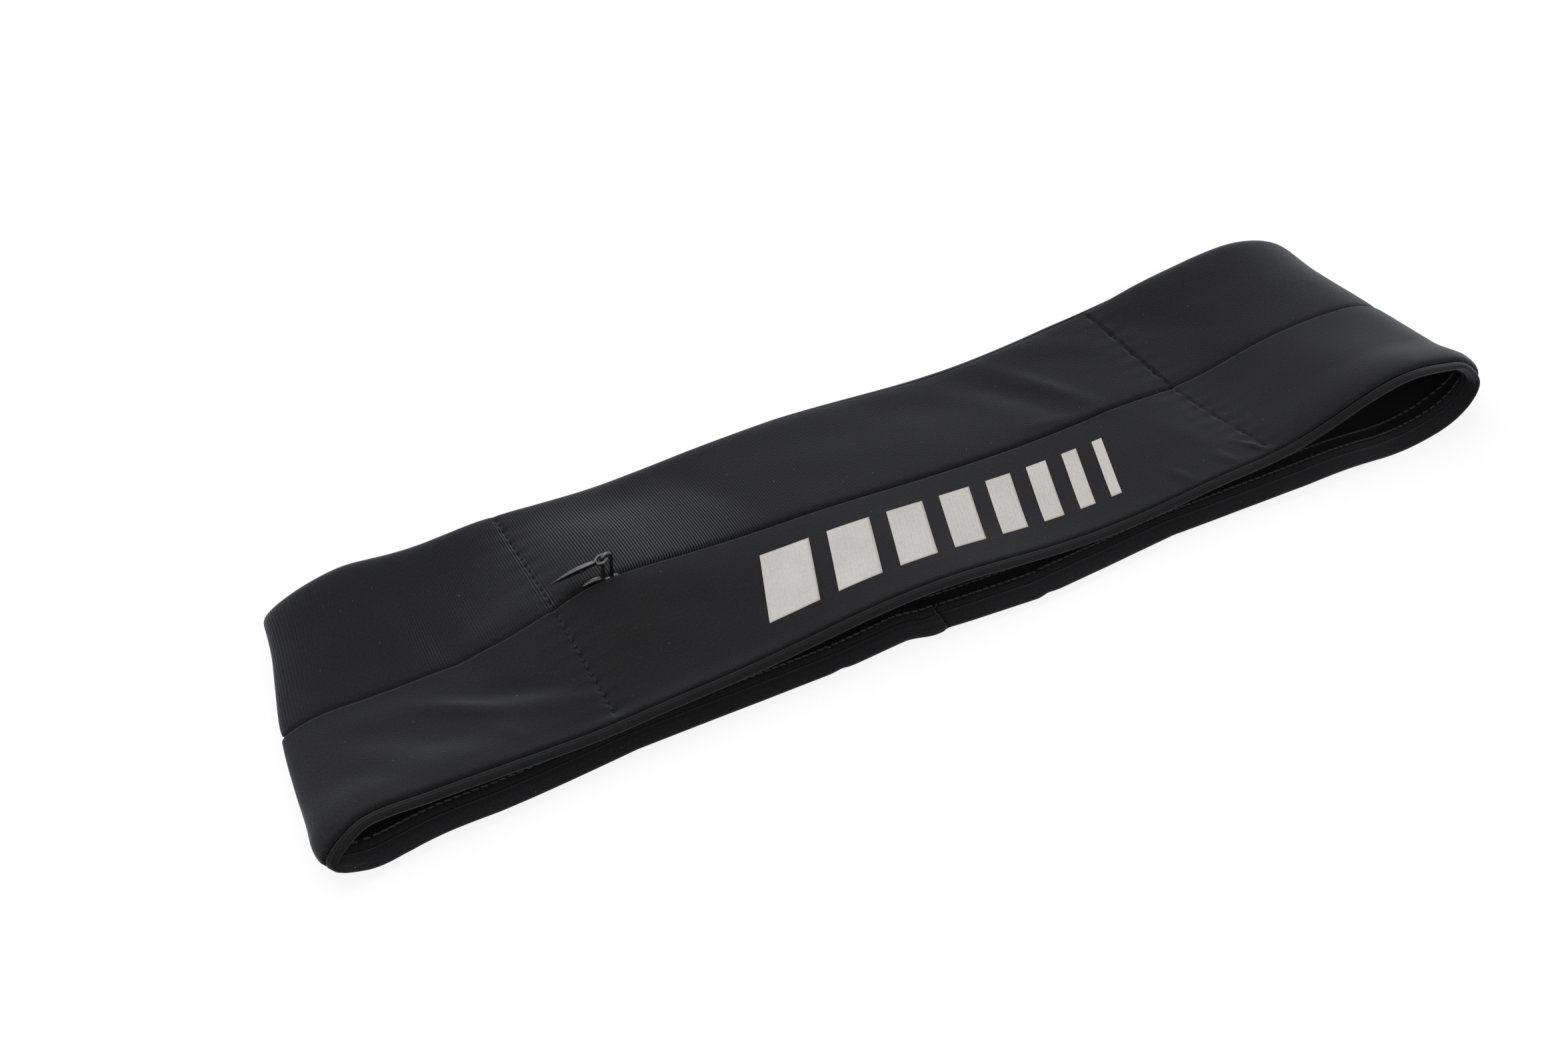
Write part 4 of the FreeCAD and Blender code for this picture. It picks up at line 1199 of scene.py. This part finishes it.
class BELT_OT_zip(bpy.types.Operator):
    """Builds the seam under the panels, the zip tapes, the coils and the stops"""

    bl_idname = "belt.zip"
    bl_label = "Seam and zip"

    def execute(self, context):
        tooth_pitch = context.scene.belt_sizes.tooth_pitch / MM
        seam_knit = knit_material("Polyester elastane warp knit, seam", ("0c0c0e", "111113"),
                                  rib_pitch=1.1, rib_height=0.0, loop_height=0.00006, sheen=0.1)
        woven = tape_material("Woven polyester zip tape", ("0e0e10", "131315"), pitch=0.9, height=0.00008,
                              sheen=0.1)
        nylon = coil_material("Nylon monofilament", "0b0b0c")
        enamel = enamel_material("Black enamel on brass clips", "0a0a0b", roughness=0.25)
        left, right = float(place_of_x(LEFT_SEAM_X)), float(place_of_x(RIGHT_SEAM_X))
        # The seam's allowance runs the long way round, from the zip's end to its start.
        around = np.linspace(right, left + LOOP_LENGTH, int((left + LOOP_LENGTH - right) / 2.0))
        seam_profile = flat_profile(-SEAM_ALLOWANCE, SEAM_ALLOWANCE, top=FABRIC + 0.15, foot=FABRIC + 0.85,
                                    spacing=0.8)
        seam = strip_piece("Centre_seam", around, seam_profile, seam_knit)
        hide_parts("centre_seam")
        along = np.linspace(left, right, int((right - left) / 1.5))
        for prefix, side in (("Upper", 1), ("Lower", -1)):
            strip = flat_profile(SEAM_LIP + FABRIC + 0.1, ZIP_TAPE_EDGE, top=FABRIC + 0.15,
                                 foot=FABRIC + 0.5, spacing=1.2)
            strip[:, 0] *= side
            tape = strip_piece(prefix + "_zip_tape", along, strip, woven)
            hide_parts(tape.name.lower())
            first, last = place_of_x(TOP_STOP_X), place_of_x(BOTTOM_STOP_X)
            # Each coil is a row of turns beside the seam. The upper one is half a pitch along, to mesh.
            stagger = 0.5 * tooth_pitch if side > 0 else 0
            turns = np.arange(first + COIL_WIRE, last - COIL_WIRE, tooth_pitch) + stagger
            coil = cloth_beads(prefix + "_zip_coil", turns, np.full(len(turns), COIL_V * side),
                               np.full(len(turns), COIL_DEPTH), lengthwise=False, slant=0.0, length=2.0,
                               thickness=COIL_WIRE, material=nylon)
            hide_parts(coil.name.lower())
            stop = cloth_beads(prefix + "_top_stop", np.array([first - STOP_GAP]),
                               np.array([TOP_STOP_V * side]), np.array([2.1]), lengthwise=True, slant=0.0,
                               length=3.0, thickness=1.6, material=enamel)
            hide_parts(stop.name.lower())
        stop = cloth_beads("Bottom_stop", np.array([last + STOP_GAP]), np.array([0.0]), np.array([2.2]),
                           lengthwise=False, slant=0.0, length=5.0, thickness=1.7, material=enamel)
        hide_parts("bottom_stop")
        return {"FINISHED"}


def slider_frame():
    """The slider's own axes, in mm: the middle of its foot on the crest, along the zip, across it and up, and
    the puller's pin, the pin's axis and the way the blade points."""
    joints = {joint["name"]: joint for joint in frame["joints"]}
    ahead = np.array(joints["zip_slide"]["axis"], float)
    ahead /= np.linalg.norm(ahead)
    across = np.array([0.0, 1.0, 0.0])
    up = np.cross(ahead, across)
    pin = np.array(joints["puller_swing"]["pos_m"], float) / MM
    axis = np.array(joints["puller_swing"]["axis"], float)
    axis /= np.linalg.norm(axis)
    level = -np.cross(axis, up)
    level /= np.linalg.norm(level)
    above = np.cross(axis, level)
    droop = math.radians(PULLER_DROOP)
    blade = level * math.cos(droop) - above * math.sin(droop)
    return pin - up * PIN_HEIGHT, ahead, across, up, pin, axis, blade


class BELT_OT_slider(bpy.types.Operator):
    """Builds the slider's body with its curved nose, the bent wire bridge on it and the drop-shaped puller"""

    bl_idname = "belt.slider"
    bl_label = "Slider and puller"

    def execute(self, context):
        colours = context.scene.belt_colours
        tone = hex_of(colours.enamel, "Enamel")
        enamel = enamel_material("Black enamel on zinc, slider", tone, roughness=0.2)
        drop_enamel = enamel_material("Black enamel on zinc, puller", tone, roughness=0.2)
        foot, ahead, across, up, pin, axis, blade = slider_frame()

        def at(x, y, z):
            return foot + ahead * x + across * y + up * z

        # Behind the coils: a plate, a flange along each edge, and the post that carries the nose.
        back, front, edge = -6.4, 3.4, 2.85
        plate_z, flange_z, post_z = -3.3, -2.3, -1.5
        tubes = [
            slab_tube(at(back, 0, plate_z), at(front, 0, plate_z), across, up,
                      half_width=3.1, half_height=0.34, rounding=0.3),
            slab_tube(at(back, edge, flange_z), at(front, edge, flange_z), across, up,
                      half_width=0.29, half_height=0.62, rounding=0.25),
            slab_tube(at(back, -edge, flange_z), at(front, -edge, flange_z), across, up,
                      half_width=0.29, half_height=0.62, rounding=0.25),
            slab_tube(at(-6.2, 0, post_z), at(3.3, 0, post_z), across, up,
                      half_width=0.42, half_height=1.5, rounding=0.2),
        ]
        # The nose's crown is a sine to the power 0.8 along its run from the tip, and it is widest where it
        # meets the bridge.
        t = np.linspace(0, 1, 40)
        crown = 1.45 * np.sin(math.pi * np.clip(0.03 + 0.72 * t, 0, 1)) ** 0.8
        path = foot + ahead * (-8.0 + 6.4 * t)[:, None] + up * ((crown - 1.0) / 2)[:, None]
        ends = np.sqrt(np.clip(1 - (2 * t - 1) ** 8, 0.001, 1))
        rows = np.ones((40, 1))
        nose_half = (0.45 + 0.35 * t) * ends
        tubes.append((path, rows * across, rows * up, nose_half, (crown + 1.0) / 2 * ends, 2.6, 28))
        # A small foot on the other side of the bridge.
        heel = 0.5 * np.sqrt(np.clip(1 - (t - 0.15) ** 2 / 0.75, 0.001, 1)) * ends
        path = foot + ahead * (1.2 + 2.4 * t)[:, None] + up * 0.05
        tubes.append((path, rows * across, rows * up, 0.6 * ends, heel, 2.4, 24))
        body = tubes_piece("Slider_body", tubes, enamel, "slider")
        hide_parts("slider_body")

        # The bridge's wire runs up, half round and down again, and its feet reach into the body.
        reach, top = BRIDGE_SPAN / 2 - BRIDGE_WIRE / 2, BRIDGE_HEIGHT - BRIDGE_WIRE / 2
        bend = np.radians(np.linspace(180, 0, 33))
        leg = np.linspace(-0.9, top - reach, 18)[:-1]
        x = np.concatenate([np.full(17, -reach), reach * np.cos(bend), np.full(17, reach)])
        z = np.concatenate([leg, top - reach + reach * np.sin(bend), leg[::-1]])
        wire = foot + ahead * x[:, None] + up * z[:, None]
        run = np.gradient(wire, axis=0)
        run /= np.linalg.norm(run, axis=-1, keepdims=True)
        side = np.broadcast_to(across, wire.shape)
        out = np.cross(run, side)
        thick = np.full(len(wire), BRIDGE_WIRE / 2)
        # The wire is a little thicker at its feet, where it is cast into the body.
        swell = 1 + 0.35 * np.exp(-np.clip(z + 0.2, 0, None) / 0.8)
        bent = (wire, side, out, thick * 1.08 * swell, thick * swell, 2.4, 20)
        bridge = tubes_piece("Slider_bridge", [bent], enamel, "slider")
        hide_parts("slider_bridge")

        # The puller: an eye round the bridge, and a drop that swells as sin(pi t^0.72)^0.85 and ends in a
        # point. The drop is rolled about its own line, as it lies.
        roll = math.radians(PULLER_ROLL)
        flat_up = np.cross(blade, axis)
        flat_up *= np.sign(flat_up[2])
        wide = axis * math.cos(roll) + flat_up * math.sin(roll)
        high = flat_up * math.cos(roll) - axis * math.sin(roll)
        turn = np.linspace(0, 2 * math.pi, 61)
        eye = np.stack([EYE_REACH / 2 * (1 - np.cos(turn)), (EYE_WIDTH / 2) * np.sin(turn)], -1)
        ring = pin + blade * (eye[:, 0] - 0.1)[:, None] + axis * eye[:, 1][:, None]
        run = np.gradient(ring, axis=0)
        run[0] = run[-1] = run[0] + run[-1]
        run /= np.linalg.norm(run, axis=-1, keepdims=True)
        upright = np.broadcast_to(flat_up, ring.shape)
        out = np.cross(run, upright)
        wire_half = np.full(len(ring), 0.5)
        loop = (ring, out, upright, wire_half, wire_half * 1.05, 2.2, 18)
        t = np.linspace(0, 1, 64)
        along = EYE_REACH - 0.3 + (PULLER_LENGTH - EYE_REACH + 0.3) * t
        swell = np.sin(math.pi * np.clip(t, 0, 1) ** 0.72) ** 0.85
        taper = np.sqrt(np.clip(1 - t ** 6, 0, 1))
        neck_width, neck_height = 1.15, 0.48
        half_width = (neck_width + (PULLER_WIDTH / 2 - neck_width) * swell) * np.where(t > 0.35, taper, 1)
        half_width = 0.05 + half_width * (1 - 0.55 * t ** 3)
        half_height = (neck_height + (PULLER_THICKNESS / 2 - neck_height) * swell) * taper
        half_height = 0.04 + half_height * (1 - 0.5 * t ** 3)
        path = pin + blade * along[:, None] + flat_up * (0.35 * np.sin(math.pi * t))[:, None]
        rows = np.ones((64, 1))
        drop = (path, rows * wide, rows * high, half_width, half_height, 1.8, 36)
        puller = tubes_piece("Puller", [loop, drop], drop_enamel, "pull")
        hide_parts("puller")
        return {"FINISHED"}


# ---------------------------------------------------------------- the stage


def seen_rays(tree):
    """1 for the rays that come from the camera, off a mirror or through glass, and 0 for all others."""
    rays = add(tree, "ShaderNodeLightPath")
    either = add(tree, "ShaderNodeMath", {0: (rays, "Is Camera Ray"), 1: (rays, "Is Glossy Ray")},
                 operation="MAXIMUM")
    return add(tree, "ShaderNodeMath", {0: (either, 0), 1: (rays, "Is Transmission Ray")},
               operation="MAXIMUM")


def white_for_camera(tree, plain, level):
    """Mixes white at a strength of 1 over the plain shader, by the level, for the rays that are seen.

    What is left of the plain shader keeps the object's shadow.
    """
    share = add(tree, "ShaderNodeMath", {0: (seen_rays(tree), 0), 1: level}, operation="MULTIPLY")
    white = add(tree, "ShaderNodeEmission", {"Color": linear("ffffff"), "Strength": 1.0})
    return add(tree, "ShaderNodeMixShader", {0: (share, 0), 1: (plain, 0), 2: (white, 0)})


def area_light(name, place, target, size, power):
    """A rectangular softbox at a place in metres, facing its target, with its power in watts."""
    light = bpy.data.lights.new(name, "AREA")
    light.shape = "RECTANGLE"
    light.size, light.size_y = size
    light.energy = power
    lamp = bpy.data.objects.new(name, light)
    bpy.context.scene.collection.objects.link(lamp)
    lamp.location = place
    lamp.rotation_euler = (Vector(target) - Vector(place)).to_track_quat("-Z", "Y").to_euler()
    return lamp


class BELT_OT_stage(bpy.types.Operator):
    """Sets up the white floor, the soft light and the camera"""

    bl_idname = "belt.stage"
    bl_label = "Floor, light and camera"

    def execute(self, context):
        scene = context.scene
        # White painted board: matt, with a tone that changes a little over 17 mm.
        floor_material, tree = empty_material("White painted board")
        place = add(tree, "ShaderNodeTexCoord")
        grain = add(tree, "ShaderNodeTexNoise", {"Vector": (place, "Object"), "Scale": 60.0, "Detail": 2.0})
        tone = add(tree, "ShaderNodeMix", {0: (grain, "Fac"), 6: linear("fbfbfb"), 7: linear("fefefe")},
                   data_type="RGBA")
        paint = add(tree, "ShaderNodeBsdfDiffuse", {"Color": (tone, 2), "Roughness": 1.0})
        finish_material(tree, white_for_camera(tree, paint, FLOOR_WHITE))
        corner = np.array([-1.0, 1.0]) * FLOOR_REACH
        points = np.array([(x, y, FLOOR_Z) for y in corner for x in corner])
        mesh = bpy.data.meshes.new("Floor")
        mesh.from_pydata((points * MM).tolist(), [], [(0, 1, 3, 2)])
        mesh.materials.append(floor_material)
        floor = bpy.data.objects.new("Floor", mesh)
        scene.collection.objects.link(floor)

        world = bpy.data.worlds.new("Studio")
        world.use_nodes = True
        tree = world.node_tree
        tree.nodes.clear()
        strength = add(tree, "ShaderNodeMapRange",
                       {"Value": (seen_rays(tree), 0), "To Min": WORLD_LEVEL, "To Max": 1.0})
        sky = add(tree, "ShaderNodeBackground", {"Color": linear("ffffff"), "Strength": (strength, 0)})
        add(tree, "ShaderNodeOutputWorld", {"Surface": (sky, 0)})
        scene.world = world

        area_light("Overhead_softbox", (-0.15, 0.45, 1.2), (0.0, 0.0, 0.0), size=(1.4, 0.9), power=9.0)
        area_light("Left_softbox", (-1.3, 0.2, 0.9), (0.0, 0.0, 0.0), size=(0.8, 0.8), power=2.7)
        area_light("Front_softbox", (-0.4, -1.1, 0.95), (0.0, 0.0, 0.01), size=(1.2, 0.6), power=5.0)
        area_light("Strip_light", (0.12, 0.9, 0.75), (-0.1, 0.0, 0.02), size=(0.5, 0.12), power=1.6)

        lens = bpy.data.cameras.new("Camera")
        lens.lens = CAMERA_LENS
        lens.sensor_width = 36.0
        lens.clip_start = 0.01
        camera = bpy.data.objects.new("Camera", lens)
        scene.collection.objects.link(camera)
        camera.location = CAMERA_PLACE
        view = Vector(CAMERA_TARGET) - Vector(CAMERA_PLACE)
        camera.rotation_euler = view.to_track_quat("-Z", "Y").to_euler()
        scene.camera = camera
        scene.view_settings.view_transform = "Standard"
        return {"FINISHED"}


# ---------------------------------------------------------------- the panel and the run

STEPS = (BELT_OT_outer_panels, BELT_OT_rims, BELT_OT_lining, BELT_OT_stitches, BELT_OT_film, BELT_OT_zip,
         BELT_OT_slider, BELT_OT_stage)


class BELT_PT_panel(bpy.types.Panel):
    """Lists the belt's colours, sizes and building steps"""

    bl_idname = "BELT_PT_panel"
    bl_label = "Money belt"
    bl_space_type = "VIEW_3D"
    bl_region_type = "UI"
    bl_category = "Money belt"

    def draw(self, context):
        for group in (context.scene.belt_colours, context.scene.belt_sizes):
            column = self.layout.column()
            for key in group.__annotations__:
                column.prop(group, key)
        for step in STEPS:
            self.layout.operator(step.bl_idname)


CLASSES = (BeltColours, BeltSizes) + STEPS + (BELT_PT_panel,)


def register():
    for item in CLASSES:
        bpy.utils.register_class(item)
    bpy.types.Scene.belt_colours = bpy.props.PointerProperty(type=BeltColours)
    bpy.types.Scene.belt_sizes = bpy.props.PointerProperty(type=BeltSizes)


def unregister():
    del bpy.types.Scene.belt_sizes
    del bpy.types.Scene.belt_colours
    for item in reversed(CLASSES):
        bpy.utils.unregister_class(item)


def main():
    register()
    bpy.ops.belt.outer_panels()
    bpy.ops.belt.rims()
    bpy.ops.belt.lining()
    bpy.ops.belt.stitches()
    bpy.ops.belt.film()
    bpy.ops.belt.zip()
    bpy.ops.belt.slider()
    bpy.ops.belt.stage()


if __name__ == "__main__":
    main()
